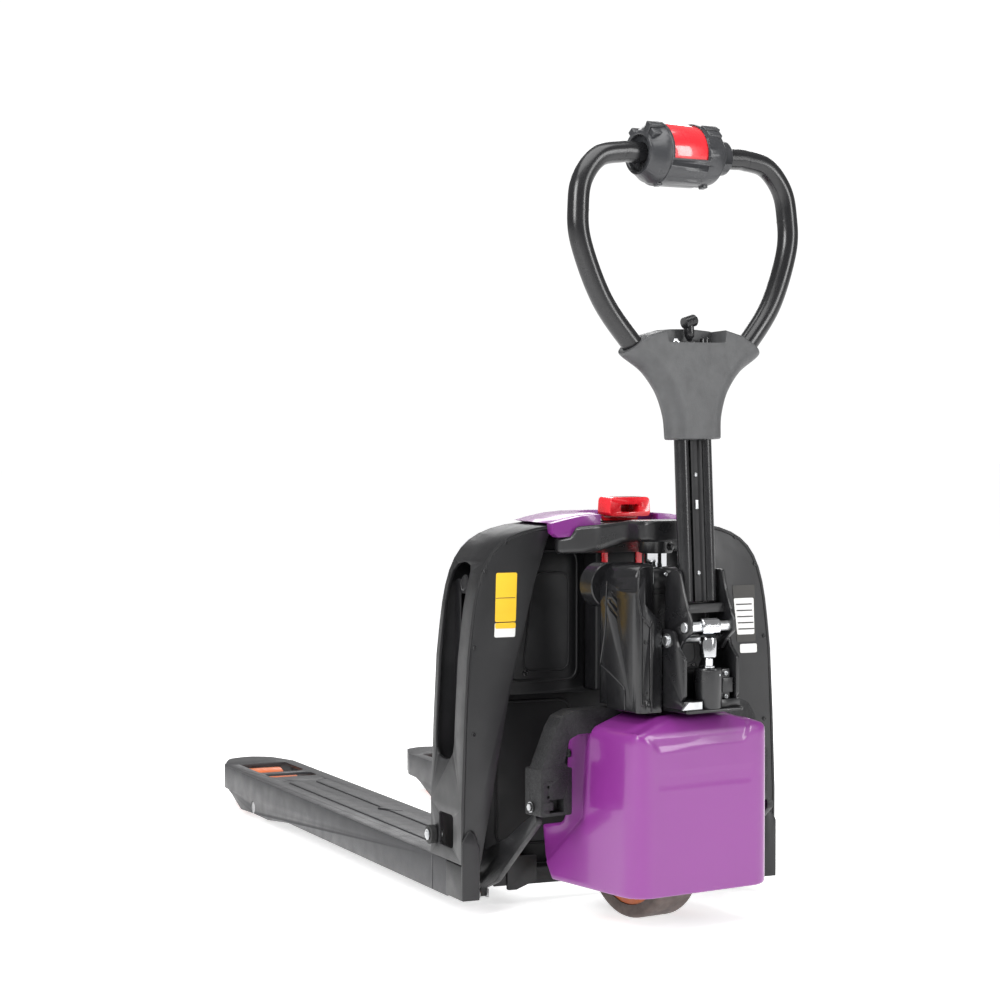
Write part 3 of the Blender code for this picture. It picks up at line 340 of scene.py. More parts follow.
def prism(outline, plane, low, high, bevel=0.0):
    """A flat outline extruded between two heights."""
    curve = line_curve([(u, v, 0.0) for u, v in outline], "2D", True)
    curve.fill_mode = "BOTH"
    curve.extrude = (high - low) / 2 - bevel
    if bevel:
        curve.bevel_depth = bevel
        curve.bevel_resolution = 2
        curve.offset = -bevel
    mesh = mesh_of_curve(curve)
    mesh.transform(Matrix.Translation(NORMALS[plane] * (low + high) / 2) @ PLANES[plane])
    return mesh


def tube(points, radius, resolution=8, cyclic=False):
    """A round bar along a line of points."""
    curve = line_curve(points, "3D", cyclic)
    curve.bevel_depth = radius
    curve.bevel_resolution = resolution
    curve.use_fill_caps = not cyclic
    return mesh_of_curve(curve)


def turned(profile, axis_matrix=WORLD, sides=64):
    """A profile of (radius, height) points turned about the axis; it closes off the axis."""
    bm = bmesh.new()
    ring = [bm.verts.new((radius, 0.0, height)) for radius, height in profile]
    open_line = profile[0][0] == 0.0
    for first, second in zip(ring, ring[1:] + ([] if open_line else ring[:1])):
        bm.edges.new((first, second))
    bmesh.ops.spin(bm, geom=bm.verts[:] + bm.edges[:], cent=(0, 0, 0), axis=(0, 0, 1),
                   angle=math.tau, steps=sides, use_merge=True, use_duplicate=False)
    bmesh.ops.remove_doubles(bm, verts=bm.verts, dist=1e-6)
    bm.transform(axis_matrix)
    return mesh_from(bm)


def at(x, y, z=0.0):
    return Matrix.Translation((x, y, z))


def facing(x, y, z, axis):
    """A turned piece whose top faces along an axis."""
    return at(x, y, z) @ Vector(axis).to_track_quat("Z", "Y").to_matrix().to_4x4()


def rounded(corners, radius, steps=6):
    """An outline whose corners are arcs; a corner may give its own radius."""
    outline = []
    count = len(corners)
    for index, corner in enumerate(corners):
        here = Vector(corner[:2])
        before = Vector(corners[index - 1][:2]) - here
        after = Vector(corners[(index + 1) % count][:2]) - here
        bend = before.angle(after)
        arc = corner[2] if len(corner) > 2 else radius
        reach = min(arc / math.tan(bend / 2), 0.48 * min(before.length, after.length))
        if arc == 0.0 or bend > math.radians(178):
            outline.append(tuple(here))
            continue
        start = here + before.normalized() * reach
        end = here + after.normalized() * reach
        for step in range(steps + 1):
            share = step / steps
            outline.append(tuple(start * (1 - share) ** 2 + here * 2 * share * (1 - share)
                                 + end * share ** 2))
    return outline


def both_ways(half):
    """A profile from its first half, the second one being the same the other way up."""
    return half + [(radius, -height) for radius, height in half[::-1]]


def mirrored(half):
    """A closed outline from its right half."""
    return list(half) + [(-u, *rest) for u, *rest in half[::-1]]


def smooth_path(points, steps):
    """A curve through every point."""
    path = [points[0]]
    ends = [points[0]] + list(points) + [points[-1]]
    for before, here, there, after in zip(ends, ends[1:], ends[2:], ends[3:]):
        for step in range(1, steps + 1):
            t = step / steps
            path.append(tuple(
                0.5 * (2 * b + (c - a) * t + (2 * a - 5 * b + 4 * c - d) * t * t
                       + (3 * b - a - 3 * c + d) * t ** 3)
                for a, b, c, d in zip(before, here, there, after)))
    return path


def with_modifiers(mesh, *steps):
    """The mesh after a list of (type, settings) modifiers."""
    obj = linked("shape", mesh)
    for kind, settings in steps:
        modifier = obj.modifiers.new(kind, kind)
        for key, value in settings.items():
            setattr(modifier, key, value)
    return evaluated(obj)


def boolean(mesh, other, operation="DIFFERENCE"):
    """The result of a Boolean between two closed meshes."""
    tool = linked("tool", other)
    result = with_modifiers(mesh, ("BOOLEAN", {"operation": operation, "solver": "EXACT",
                                               "object": tool}))
    bpy.data.objects.remove(tool)
    return result


def softened(mesh, width, segments=3, angle=32.0):
    """Real rounded edges on a mesh of flat faces."""
    return with_modifiers(
        mesh,
        ("BEVEL", {"width": width, "segments": segments, "limit_method": "ANGLE",
                   "angle_limit": math.radians(angle), "harden_normals": False,
                   "miter_outer": "MITER_ARC"}),
        ("WEIGHTED_NORMAL", {"keep_sharp": False, "weight": 80}))


def merged(*meshes):
    """Several closed shapes in one mesh."""
    bm = bmesh.new()
    for mesh in meshes:
        bm.from_mesh(mesh)
    result = bpy.data.meshes.new("shape")
    bm.to_mesh(result)
    bm.free()
    return result


def cad_mesh(node):
    """A CAD node's shape with its flat faces whole again."""
    bm = bmesh.new()
    bm.from_mesh(frame["nodes"][node].data)
    bmesh.ops.remove_doubles(bm, verts=bm.verts, dist=2e-5)
    bmesh.ops.dissolve_limit(bm, angle_limit=math.radians(0.8), verts=bm.verts, edges=bm.edges)
    mesh = bpy.data.meshes.new(node)
    bm.to_mesh(mesh)
    bm.free()
    return mesh


def body_of(node):
    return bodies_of(frame["nodes"][node])[0]


def refined(node, look, width, segments=3, cuts=(), extras=(), slot=None, angle=32.0):
    """A CAD node's shape with rounded edges, further cuts and further detail."""
    mesh = cad_mesh(node)
    for tool in cuts:
        mesh = boolean(mesh, tool)
    mesh = softened(mesh, width, segments, angle)
    if extras:
        mesh = merged(mesh, *extras)
    return piece(node + "_fine", mesh, look, body_of(node), replaces=(node,), slot=slot)


GRID_SPREAD = 0.72        # how strongly rays are evened out over a face of the box
FARTHEST = 1.9            # where the search ends, in half sizes of the box
HALVINGS = 24


def implicit(function, centre, size, count):
    """The surface where a function of position is zero, seen from a centre inside it.

    A box of quads of the given half size is pushed out along rays to that surface.
    """
    bm = bmesh.new()
    faces = []
    grid = np.linspace(-1.0, 1.0, count + 1)
    grid = np.tan(grid * GRID_SPREAD) / math.tan(GRID_SPREAD)
    index = {}
    for axis in range(3):
        for side in (-1.0, 1.0):
            rows = []
            for u in grid:
                row = []
                for v in grid:
                    point = [0.0, 0.0, 0.0]
                    point[axis] = side
                    point[(axis + 1) % 3] = float(u)
                    point[(axis + 2) % 3] = float(v)
                    key = tuple(round(part, 6) for part in point)
                    if key not in index:
                        index[key] = len(index)
                    row.append(index[key])
                rows.append(row)
            for i in range(count):
                for j in range(count):
                    quad = (rows[i][j], rows[i + 1][j], rows[i + 1][j + 1], rows[i][j + 1])
                    faces.append(quad if side > 0 else quad[::-1])
    rays = np.array(list(index)) * np.array(size)
    near = np.zeros(len(rays))
    far = np.full(len(rays), FARTHEST)
    for _ in range(HALVINGS):
        middle = (near + far) / 2
        outside = function(*(np.array(centre) + rays * middle[:, None]).T) > 0
        far = np.where(outside, middle, far)
        near = np.where(outside, near, middle)
    points = np.array(centre) + rays * near[:, None]
    vertices = [bm.verts.new(point) for point in points]
    for quad in faces:
        bm.faces.new([vertices[k] for k in quad])
    return mesh_from(bm)


def outline_distance(outline):
    """A function giving the signed distance to a closed outline, negative inside."""
    start = np.array(outline)
    edge = np.roll(start, -1, axis=0) - start

    def distance(u, v):
        nearest = np.full(u.shape, 1e9)
        inside = np.zeros(u.shape, bool)
        for (a, b), (p, q) in zip(start, edge):
            du, dv = u - a, v - b
            share = np.clip((du * p + dv * q) / (p * p + q * q + 1e-12), 0.0, 1.0)
            nearest = np.minimum(nearest, np.hypot(du - p * share, dv - q * share))
            crosses = (b <= v) != (b + q <= v)
            with np.errstate(divide="ignore", invalid="ignore"):
                inside ^= crosses & (du < p * dv / (q if q else 1.0))
        return np.where(inside, -nearest, nearest)
    return distance


def blend_max(first, second, radius):
    """The larger of two distances, with the edge between them rounded."""
    return (np.minimum(np.maximum(first, second), -radius)
            + np.hypot(np.maximum(first + radius, 0), np.maximum(second + radius, 0)))


def step(value, low, high):
    share = np.clip((value - low) / (high - low), 0.0, 1.0)
    return share * share * (3 - 2 * share)


def placed(mesh, matrix):
    mesh.transform(matrix)
    return mesh


def screw(radius, height, place):
    """A pan-head screw with a socket, standing on its place."""
    socket = 0.45 * radius
    head = turned([(0.0, 0.35 * height), (socket, 0.35 * height), (socket, 0.9 * height),
                   (0.62 * radius, height), (0.88 * radius, 0.8 * height), (radius, 0.45 * height),
                   (radius, -0.2 * height), (0.0, -0.2 * height)], sides=32)
    return placed(head, place)


def hex_bolt(radius, height, place):
    head = turned([(0.0, -0.1 * height), (radius, -0.1 * height), (radius, 0.85 * height),
                   (0.86 * radius, height), (0.0, height)], sides=6)
    washer = turned([(0.0, -0.1 * height), (1.35 * radius, -0.1 * height),
                     (1.35 * radius, 0.12 * height), (0.0, 0.12 * height)], sides=32)
    return placed(merged(softened(head, 0.0002, 2), washer), place)


# ---------------- forks and linkage

def make_forks():
    for word, side in SIDES:
        dimples = [placed(turned([(0.0, -0.004), (0.009, -0.004), (0.012, 0.0002), (0.0, 0.0002)]),
                          at(side * x, 0.43, FORK_TOP) @ Matrix.Diagonal((1.0, 0.35, 0.2, 1)))
                   for x in (0.16, 0.232)]
        refined("fork_" + word, "fork_coat", 0.0022, cuts=dimples)
        ribs = []
        for x in (0.17, 0.224):
            pad = rounded([(side * (x - 0.013), -0.33), (side * (x + 0.013), -0.33),
                           (side * (x + 0.013), 0.41), (side * (x - 0.013), 0.41)], 0.013)
            ribs.append(prism(pad, "XY", FORK_TOP - 0.002, FORK_TOP + 0.0022, bevel=0.002))
        if side < 0:
            nick = rounded([(-0.172, -0.005), (-0.162, 0.0), (-0.184, 0.052), (-0.194, 0.047)],
                           0.004)
            ribs.append(prism(nick, "XY", FORK_TOP - 0.002, FORK_TOP + 0.003, bevel=0.0012))
        piece("fork_ribs_" + word, merged(*ribs), "fork_coat", "frame")
        seam = box((side * 0.2752, FACE_Y - 0.0012, 0.026), (side * 0.2758, FACE_Y + 0.0012, 0.08),
                   0.0002, 1)
        piece("fork_weld_" + word, seam, "fork_coat", "frame")
        refined("pushrod_" + word, "steel", 0.0005, 2)
        refined("roller_arm_" + word, "steel", 0.0008, 2, slot="steel")
        refined("bogie_" + word, "steel", 0.0006, 2)
        for place, y in (("rear", 0.588), ("front", 0.678)):
            name = "load_roller_" + place + "_" + word
            ring = [(0.008, -0.0405), (0.012, -0.0405), (0.0125, -0.0392), (0.025, -0.0392),
                    (0.0258, -0.0405), (0.0335, -0.0405), (0.0357, -0.0396), (0.0366, -0.0385),
                    (0.037, -0.0365)]
            turn = facing(side * LOAD_ROLLER_X, y, LOAD_ROLLER_Z, (1, 0, 0))
            piece(name + "_fine", turned(both_ways(ring), turn, 72), "orange_tyre",
                  "roller_" + place + "_" + word, replaces=(name,))
    refined("torsion_shaft", "powder_coat", 0.0012, 3)


# ---------------- chassis

def make_chassis():
    for word, side in SIDES:
        refined("side_strip_" + word, "powder_coat", 0.0012)
        refined("slot_panel_" + word, "dull_plastic", 0.0007, 2)
        wing_screws = [
            screw(0.0032, 0.0016, facing(side * x, REAR_Y - 0.0002, z, (0, -1, 0)))
            for x, z in ((0.2022, 0.5825), (0.2382, 0.5379), (0.256, 0.42), (0.257, 0.285))]
        refined("rear_wing_" + word, "powder_coat", 0.0009, 2)
        piece("wing_screws_" + word, merged(*wing_screws), "cast_black", "frame",
              slot="powder_coat")
        refined("corner_gusset_" + word, "powder_coat", 0.0018)
        outward = facing(side * 0.2905, BUMPER_Y, BUMPER_Z, (side, 0, 0))
        bolt = hex_bolt(0.0065, 0.0022, outward)
        shank = turned([(0.0, -0.0245), (0.006, -0.0245), (0.006, 0.0), (0.0, 0.0)], outward)
        piece("bumper_bolt_fine_" + word, merged(bolt, shank), "zinc_plate", "frame",
              replaces=("bumper_bolt_" + word,), slot="steel")
        ring = [(0.0063, -0.0053), (0.0135, -0.0053), (0.0146, -0.0048), (0.015, -0.0038)]
        for x in (-0.003, -0.001, 0.001, 0.003):
            ring += [(0.015, x - 0.0006), (0.0146, x - 0.0003), (0.0146, x + 0.0003),
                     (0.015, x + 0.0006)]
        ring += [(0.015, 0.0038), (0.0146, 0.0048), (0.0135, 0.0053), (0.0063, 0.0053)]
        turn = facing(side * 0.2835, BUMPER_Y, BUMPER_Z, (1, 0, 0))
        piece("bumper_roller_fine_" + word, turned(ring, turn), "rubber", "side_roller_" + word,
              replaces=("bumper_roller_" + word,))
    refined("front_plate", "powder_coat", 0.0009, 2)
    refined("crossmember", "powder_coat", 0.001, 2)
    latch = placed(turned([(0.0, 0.0), (0.0125, 0.0), (0.0125, 0.0012), (0.0115, 0.0018),
                           (0.0095, 0.0018), (0.0092, 0.001), (0.0, 0.001)]),
                   facing(-0.266, -0.524, 0.52, (-1, 0, 0.18)))
    piece("slot_plug", latch, "dull_plastic", "frame")


def make_labels():
    """Plain printed films on the left wing, and a nameplate with bars on the right one."""
    y = REAR_Y - 0.0003

    def film(name, top, upper, bottom, lower, look, lift=0.0):
        """A film from the two ends of its top edge to the two of its bottom edge."""
        outline = rounded([(upper[0], top), (upper[1], top), (lower[1], bottom),
                           (lower[0], bottom)], min(0.003, abs(top - bottom) * 0.4))
        piece(name, prism(outline, "XZ", y - FILM - lift, y - lift), look, "frame",
              slot="powder_coat")

    film("label_upper", 0.5345, (-0.219, -0.1835), 0.4585, (-0.221, -0.186), "label_yellow")
    film("label_lower", 0.457, (-0.2212, -0.1862), 0.4345, (-0.2222, -0.187), "label_white")
    film("label_band", 0.457, (-0.2208, -0.186), 0.448, (-0.2211, -0.1863), "label_yellow", 0.0003)
    film("nameplate", 0.504, (0.1965, 0.2375), 0.412, (0.206, 0.24), "label_ink")
    film("nameplate_field", 0.483, (0.199, 0.2355), 0.424, (0.206, 0.2375), "label_white", 0.0003)
    for z in (0.473, 0.463, 0.453, 0.443, 0.433):
        x = 0.199 + 0.117 * (0.483 - z)
        ends = (x + 0.003, x + 0.032)
        film("nameplate_row_%d" % round(z * 1000), z + 0.001, ends, z - 0.001, ends,
             "label_ink", 0.0006)
    film("label_rule", 0.496, (-0.2195, -0.187), 0.495, (-0.2195, -0.187), "label_ink", 0.0003)
    film("nameplate_tag", 0.4085, (0.211, 0.242), 0.394, (0.2115, 0.2425), "label_white")


def make_liner():
    """Moulded panels, each outlined by a bead, and the screws that hold them."""
    screws, beads = [], []
    deep, shallow = FACE_Y - 0.012, FACE_Y - 0.082
    for side in (-1, 1):
        for face, wire, radius, corners in (
                (shallow + 0.0004, 0.0028, 0.02,
                 ((0.06, 0.565), (0.16, 0.565), (0.182, 0.36), (0.06, 0.36))),
                (shallow + 0.0002, 0.0018, 0.016,
                 ((0.075, 0.53), (0.135, 0.53), (0.155, 0.375), (0.075, 0.375))),
                (deep + 0.0004, 0.0026, 0.02,
                 ((0.04, 0.32), (0.17, 0.32), (0.17, 0.09), (0.04, 0.09)))):
            outline = rounded([(side * x, z) for x, z in corners], radius)
            beads.append(tube([(x, face, z) for x, z in outline], wire, 3, cyclic=True))
        for x, z in ((0.1285, 0.5476), (0.15, 0.372)):
            screws.append(screw(0.005, 0.0026, facing(side * x, shallow, z, (0, -1, 0))))
    refined("recess_liner", "dull_plastic", 0.0012, 3, extras=beads)
    piece("liner_screws", merged(*screws), "black_plastic", "frame", slot="dull_plastic")


def make_top_cover():
    refined("top_cover", "purple_plastic", 0.0022, 4, angle=24)


def make_lift_arm():
    """A thick casting: wide at the chassis, swelling into a round head on the rod."""
    plan = outline_distance(rounded(mirrored([
        (0.122, -0.5374, 0), (0.121, -0.553, 0.012), (0.068, -0.59, 0.034),
        (0.041, -0.635, 0.034), (0.041, -0.692, 0.04)]), 0.01, 8))
    side = outline_distance(rounded([
        (-0.5374, 0.562, 0), (-0.5374, 0.5875, 0), (-0.56, 0.589, 0.006),
        (-0.566, 0.606, 0.006), (-0.61, 0.613, 0.03), (-0.64, 0.618, 0.03),
        (-0.694, 0.618, 0.004), (-0.694, 0.586, 0.004), (-0.625, 0.583, 0.03),
        (-0.575, 0.564, 0.03)], 0.004, 6))

    def shape(x, y, z):
        return blend_max(plan(x, y), side(y, z), 0.007)

    arm = implicit(shape, (0.0, -0.6, 0.596), (0.13, 0.1, 0.035), 72)
    middle = box((-0.046, -0.566, 0.5705), (0.046, -0.5376, 0.6105), 0.003)
    boss = turned([(0.0, 0.6), (0.0265, 0.6), (0.0265, 0.569), (0.025, 0.567),
                   (0.0182, 0.567), (0.0182, 0.598), (0.0, 0.598)], at(0, -0.65))
    stud = hex_bolt(0.005, 0.0045, facing(0.0135, -0.6735, 0.5765, (0.5, -0.86, 0)))
    piece("lift_arm_fine", merged(arm, middle, boss), "cast_black", "frame", replaces=("lift_arm",))
    piece("arm_set_screw", stud, "cast_black", "frame")
    bolts = [hex_bolt(0.005, 0.004, facing(x, -0.5535, 0.569, (0, -0.7, -0.7)))
             for x in (-0.105, 0.105)]
    piece("arm_bolts", merged(*bolts), "cast_black", "frame")


def make_battery():
    refined("battery_pack", "dull_plastic", 0.0015, 3)
    strips = [box((x - 0.005, -0.5345, 0.5), (x + 0.005, -0.5305, 0.61), 0.001)
              for x in (-0.03, 0.03)]
    piece("battery_strips", merged(*strips), "red_plastic", "battery")
    refined("battery_handle", "red_plastic", 0.0012, 3,
            extras=[box((-0.017, -0.524, 0.6255), (0.017, -0.5185, 0.6395), 0.0008)])


# ---------------- drive unit

def make_column():
    rod = turned([(0.0, 0.395), (0.0175, 0.395), (0.0175, 0.5975), (0.0, 0.5975)])
    piece("piston_rod_fine", rod, "chrome", "piston", STEERED, ("piston_rod",))
    profile = [(0.0, 0.3523), (0.035, 0.3523), (0.035, 0.365), (0.0335, 0.367)]
    for z in (0.505, 0.512):
        profile += [(0.0335, z), (0.0328, z + 0.0006), (0.0328, z + 0.0014), (0.0335, z + 0.002)]
    profile += [(0.0335, 0.528), (0.035, 0.53), (0.035, 0.54), (0.034, 0.543), (0.031, 0.545),
                (0.022, 0.5452), (0.0205, 0.5462), (0.018, 0.545), (0.018, 0.392), (0.0, 0.392)]
    on_drive_unit("lift_cylinder_fine", turned(profile), "cast_black", "lift_cylinder")
    cap_screw = screw(0.003, 0.0022, facing(-0.007, -0.0338, 0.536, (-0.2, -0.98, 0)))
    on_drive_unit("cylinder_screw", cap_screw, "zinc_plate")


def make_pump():
    refined("base_plate", "cast_black", 0.0008, 2)
    refined("pump_body", "cast_black", 0.0014, 3)
    pin = turned(both_ways([(0.0, -0.0575), (0.0052, -0.0575), (0.006, -0.0568)]),
                 facing(0, PIVOT_Y, PIVOT_Z, (1, 0, 0)))
    heads = [hex_bolt(0.008, 0.004, facing(side * 0.0535, PIVOT_Y, PIVOT_Z, (side, 0, 0)))
             for side in (-1, 1)]
    on_drive_unit("tiller_pivot_fine", merged(pin, *heads), "zinc_plate", "tiller_pivot_pin")
    barrel = [(0.0, 0.3398), (0.0202, 0.3398), (0.021, 0.341), (0.021, 0.3965), (0.0206, 0.397),
              (0.0206, 0.398), (0.0196, 0.4), (0.0138, 0.4), (0.0138, 0.3445), (0.0, 0.3445)]
    port = placed(turned([(0.0, -0.001), (0.0016, -0.001), (0.0016, 0.0004), (0.0, 0.0004)],
                         sides=24), facing(0.0072, CROSS_Y - 0.0197, 0.39, (0.35, -0.94, 0)))
    on_drive_unit("pump_barrel_fine", turned(barrel, at(0, CROSS_Y)), "cast_black", "pump_barrel")
    on_drive_unit("barrel_port", port, "zinc_plate")
    plunger = [(0.0, 0.3985), (0.0105, 0.3985), (0.0105, 0.4025), (0.008, 0.4035), (0.008, 0.4135),
               (0.011, 0.4145), (0.013, 0.417), (0.013, 0.44), (0.0118, 0.4455), (0.0, 0.4455)]
    piece("pump_plunger_fine", turned(plunger, at(0, CROSS_Y)), "chrome", "plunger", STEERED,
          ("pump_plunger",))
    fittings = [screw(0.004, 0.0045, facing(0.0305, -0.132, z, (0, -1, 0)))
                for z in (0.3905, 0.3552)]
    on_drive_unit("pump_fittings", merged(*fittings), "zinc_plate")
    valve = merged(box((0.0235, -0.135, 0.3612), (0.044, -0.11, 0.3838), 0.0015),
                   box((0.024, -0.132, 0.35), (0.04, -0.111, 0.397), 0.0012))
    # Painted highlight: a thin light zinc-coloured patch on the back of the cast black base plate,
    # standing for the lit slanted face between the controller and the barrel; the plate itself is all
    # cast black.
    painted_highlight = prism(rounded([(-0.06, 0.3404), (-0.0225, 0.3404), (-0.0225, 0.3512),
                            (-0.048, 0.3512)], 0.0008), "XZ", -0.144, -0.1404)
    on_drive_unit("painted_highlight_patch", painted_highlight, "zinc_plate", slot="cast_black")
    on_drive_unit("valve_block", valve, "cast_black")


def make_yoke():
    """The rough arch with the machined blocks that the rocker arms bear under."""
    holes = [placed(turned([(0.0, -0.006), (0.0024, -0.006), (0.0024, 0.02), (0.0, 0.02)],
                           sides=24), STEERED @ facing(side * 0.206, -0.006, z, (0, -1, 0)))
             for side in (-1, 1) for z in (0.2215, 0.2065)]
    refined("arch_yoke", "rough_cast", 0.0016, 3, cuts=holes)
    pads, pins = [], []
    for side in (-1, 1):
        low, high = sorted((side * 0.1975, side * 0.2165))
        pads.append(box((low, -0.0078, 0.186), (high, -0.005, 0.1985), 0.0012))
        pads.append(box((low, -0.0072, 0.2), (low + 0.0012, -0.005, 0.229), 0.0004, 1))
        pads.append(box((low, -0.0072, 0.229), (high, -0.005, 0.2302), 0.0004, 1))
        pins.append(hex_bolt(0.006, 0.003, facing(side * 0.2227, 0.018, 0.19, (side, 0, 0))))
    on_drive_unit("block_pads", merged(*pads), "rough_cast")
    on_drive_unit("block_pins", merged(*pins), "zinc_plate")


def make_drive():
    refined("drive_frame", "powder_coat", 0.0012, 2)
    for name, side, reach, radius in (("drive_motor", -1, 0.124, 0.046),
                                      ("brake_housing", 1, 0.08, 0.04)):
        fins = [(0.0, 0.0448), (radius - 0.003, 0.0448), (radius, 0.0478)]
        x = 0.052
        while x < reach - 0.01:
            fins += [(radius, x), (radius - 0.003, x + 0.0008), (radius - 0.003, x + 0.003),
                     (radius, x + 0.0038)]
            x += 0.0075
        fins += [(radius, reach - 0.004), (radius - 0.004, reach), (0.0, reach)]
        piece(name + "_fine", turned(fins, facing(0, WHEEL_Y, WHEEL_Z, (side, 0, 0))),
              "cast_black", "drive_unit", STEERED, (name,))
    turn = facing(0, WHEEL_Y, WHEEL_Z, (1, 0, 0))
    half = [(0.0, -0.0443), (0.01, -0.0443), (0.01, -0.034), (0.0265, -0.033),
            (0.028, -0.031), (0.03, -0.02), (0.034, -0.019), (0.068, -0.019),
            (0.0725, -0.0205), (0.074, -0.03), (0.075, -0.0312), (0.0842, -0.03)]
    piece("drive_hub_fine", turned(both_ways(half), turn, 96), "orange_tyre", "drive_wheel", STEERED,
          ("drive_hub",))
    edge = [(0.0845, -0.032), (0.098, -0.034), (0.1012, -0.0334), (0.1035, -0.031),
            (0.1047, -0.028), (0.105, -0.0245)]
    piece("drive_tyre_fine", turned(both_ways(edge), turn, 96), "tread", "drive_wheel", STEERED,
          ("drive_tyre",))


def make_drive_cover():
    """The moulded shell round the wheel, with a ledge across its back and a band each side."""
    plan = outline_distance(rounded([(-0.135, -0.103, 0.04), (-0.112, -0.127, 0.04),
                                     (0.112, -0.127, 0.04), (0.135, -0.103, 0.04),
                                     (0.135, 0.16), (-0.135, 0.16)], 0.002, 8))
    behind = outline_distance(rounded(mirrored([
        (0.135, 0.04), (0.135, 0.062), (0.1325, 0.2, 0.1), (0.1285, 0.305, 0.02),
        (0.06, 0.328, 0.05)]), 0.004, 8))
    beside = outline_distance(rounded([
        (-0.127, 0.06, 0), (0.091, 0.06), (0.112, 0.09, 0.03), (0.121, 0.144),
        (0.0605, 0.156, 0.02), (0.057, 0.33, 0.012), (-0.104, 0.331, 0.03),
        (-0.126, 0.302, 0.025)], 0.004, 8))

    def ledge(x, z):
        rise = (np.clip((-0.09 - x) * 0.8, 0.0, 0.04) + np.clip((x - 0.08) * 2.5, 0.0, 0.04)
                + 0.044 * np.clip(x + 0.09, 0.0, 0.17))
        return step(z, 0.2815 + rise, 0.2838 + rise)

    def recess(x, z):
        return (step(x, -0.094, -0.086) * (1 - step(x, 0.086, 0.094))
                * step(z, 0.218, 0.228) * (1 - step(z, 0.243, 0.246)))

    def band(y, z):
        edge = np.where(z > 0.166, 0.012 + 0.06 * (0.166 - z), 0.012 + 1.22 * (0.166 - z))
        return step(y, edge - 0.01, edge + 0.002)

    def outside(x, y, z):
        walls = blend_max(blend_max(plan(x, y), behind(x, z), 0.007), beside(y, z), 0.007)
        back = 1 - step(y, -0.1, -0.08)
        flank = step(np.abs(x), 0.095, 0.11)
        return (walls + back * (0.003 * ledge(x, z) + 0.0012 * recess(x, z))
                + flank * 0.0022 * band(y, z))

    def inside(x, y, z):
        return outside(x, y, z) + COVER_WALL

    centre, size = (0.0, -0.02, 0.118), (0.13, 0.12, 0.12)
    shell = implicit(outside, centre, size, 84)
    hollow = implicit(inside, centre, size, 40)
    below = prism(rounded([(-0.127, -0.094), (-0.1, -0.119), (0.1, -0.119), (0.127, -0.094),
                           (0.127, 0.105), (-0.127, 0.105)], 0.012), "XY", 0.02, 0.075)
    shell = boolean(shell, hollow)
    shell = boolean(shell, below)
    for low, high in (((-0.25, -0.0072, 0.297), (0.25, 0.2, 0.36)),
                      ((-0.118, 0.04, 0.025), (0.118, 0.2, 0.36))):
        shell = boolean(shell, box(low, high))
    shell = boolean(shell, turned([(0.0, 0.28), (0.05, 0.28), (0.05, 0.36), (0.0, 0.36)]))
    on_drive_unit("drive_cover_fine", shell, "purple_plastic", "drive_cover", smooth=50)
    fixings = [screw(0.0062, 0.003, facing(side * 0.1295, 0.049, 0.261, (side, 0, 0)))
               for side in (-1, 1)]
    on_drive_unit("cover_screws", merged(*fixings), "dull_plastic")


def make_controller_cover():
    """The gloss shell left of the cylinder: corner beads, louvres and a screw channel."""
    slots = []
    for z in (0.5224, 0.5059, 0.4918, 0.4797):
        slots.append(placed(box((-0.004, -0.0125, -0.0021), (0.004, 0.0125, 0.0021), 0.0009),
                            STEERED @ at(-0.1, -0.025, z) @ Matrix.Rotation(0.62, 4, "X")))
    channel = rounded([(-0.093, 0.4745), (-0.079, 0.461), (-0.079, 0.35), (-0.093, 0.35)], 0.004)
    slots.append(placed(prism(channel, "XZ", -0.095, -0.088), STEERED))
    beads = [
        tube(smooth_path([(-0.05, -0.064, 0.5515), (-0.08, -0.07, 0.5505),
                          (-0.093, -0.08, 0.538), (-0.0975, -0.084, 0.51),
                          (-0.096, -0.0875, 0.486), (-0.0955, -0.0895, 0.47),
                          (-0.0955, -0.0895, 0.356), (-0.091, -0.09, 0.348)], 8), 0.0017, 4),
        tube(smooth_path([(-0.0945, -0.09, 0.478), (-0.08, -0.0902, 0.466),
                          (-0.0762, -0.0902, 0.46), (-0.0762, -0.0902, 0.335)], 6), 0.0014, 4),
        tube(smooth_path([(-0.1002, 0.006, 0.3981), (-0.1002, -0.0164, 0.3881),
                          (-0.1002, -0.0447, 0.3731), (-0.1002, -0.0548, 0.364),
                          (-0.1002, -0.0549, 0.3345)], 6), 0.0015, 4),
        tube(smooth_path([(-0.1002, -0.0096, 0.5274), (-0.1002, -0.0072, 0.49),
                          (-0.1002, -0.0049, 0.453), (-0.1002, 0.0075, 0.399)], 6), 0.0013, 4),
    ]
    beads = [placed(bead, STEERED) for bead in beads]
    refined("controller_cover", "black_plastic", 0.0022, 3, cuts=slots, extras=beads)
    heads = [screw(0.0034, 0.0016, facing(-0.086, -0.0884, z, (0, -1, 0)))
             for z in (0.4395, 0.3627)]
    on_drive_unit("controller_screws", merged(*heads), "cast_black")
    disc = turned(both_ways([(0.0, -0.016), (0.033, -0.016), (0.0345, -0.0145)]),
                  facing(-0.079, 0.028, 0.519, (0, 1, 0)))
    on_drive_unit("pump_motor", disc, "black_plastic")
    lug = rounded([(-0.046, 0.543), (-0.034, 0.543), (-0.034, 0.52), (-0.046, 0.52)], 0.005)
    on_drive_unit("hose_lug", prism(lug, "XZ", -0.04, -0.033, bevel=0.001), "zinc_plate",
                  slot="cast_black")


# ---------------- tiller

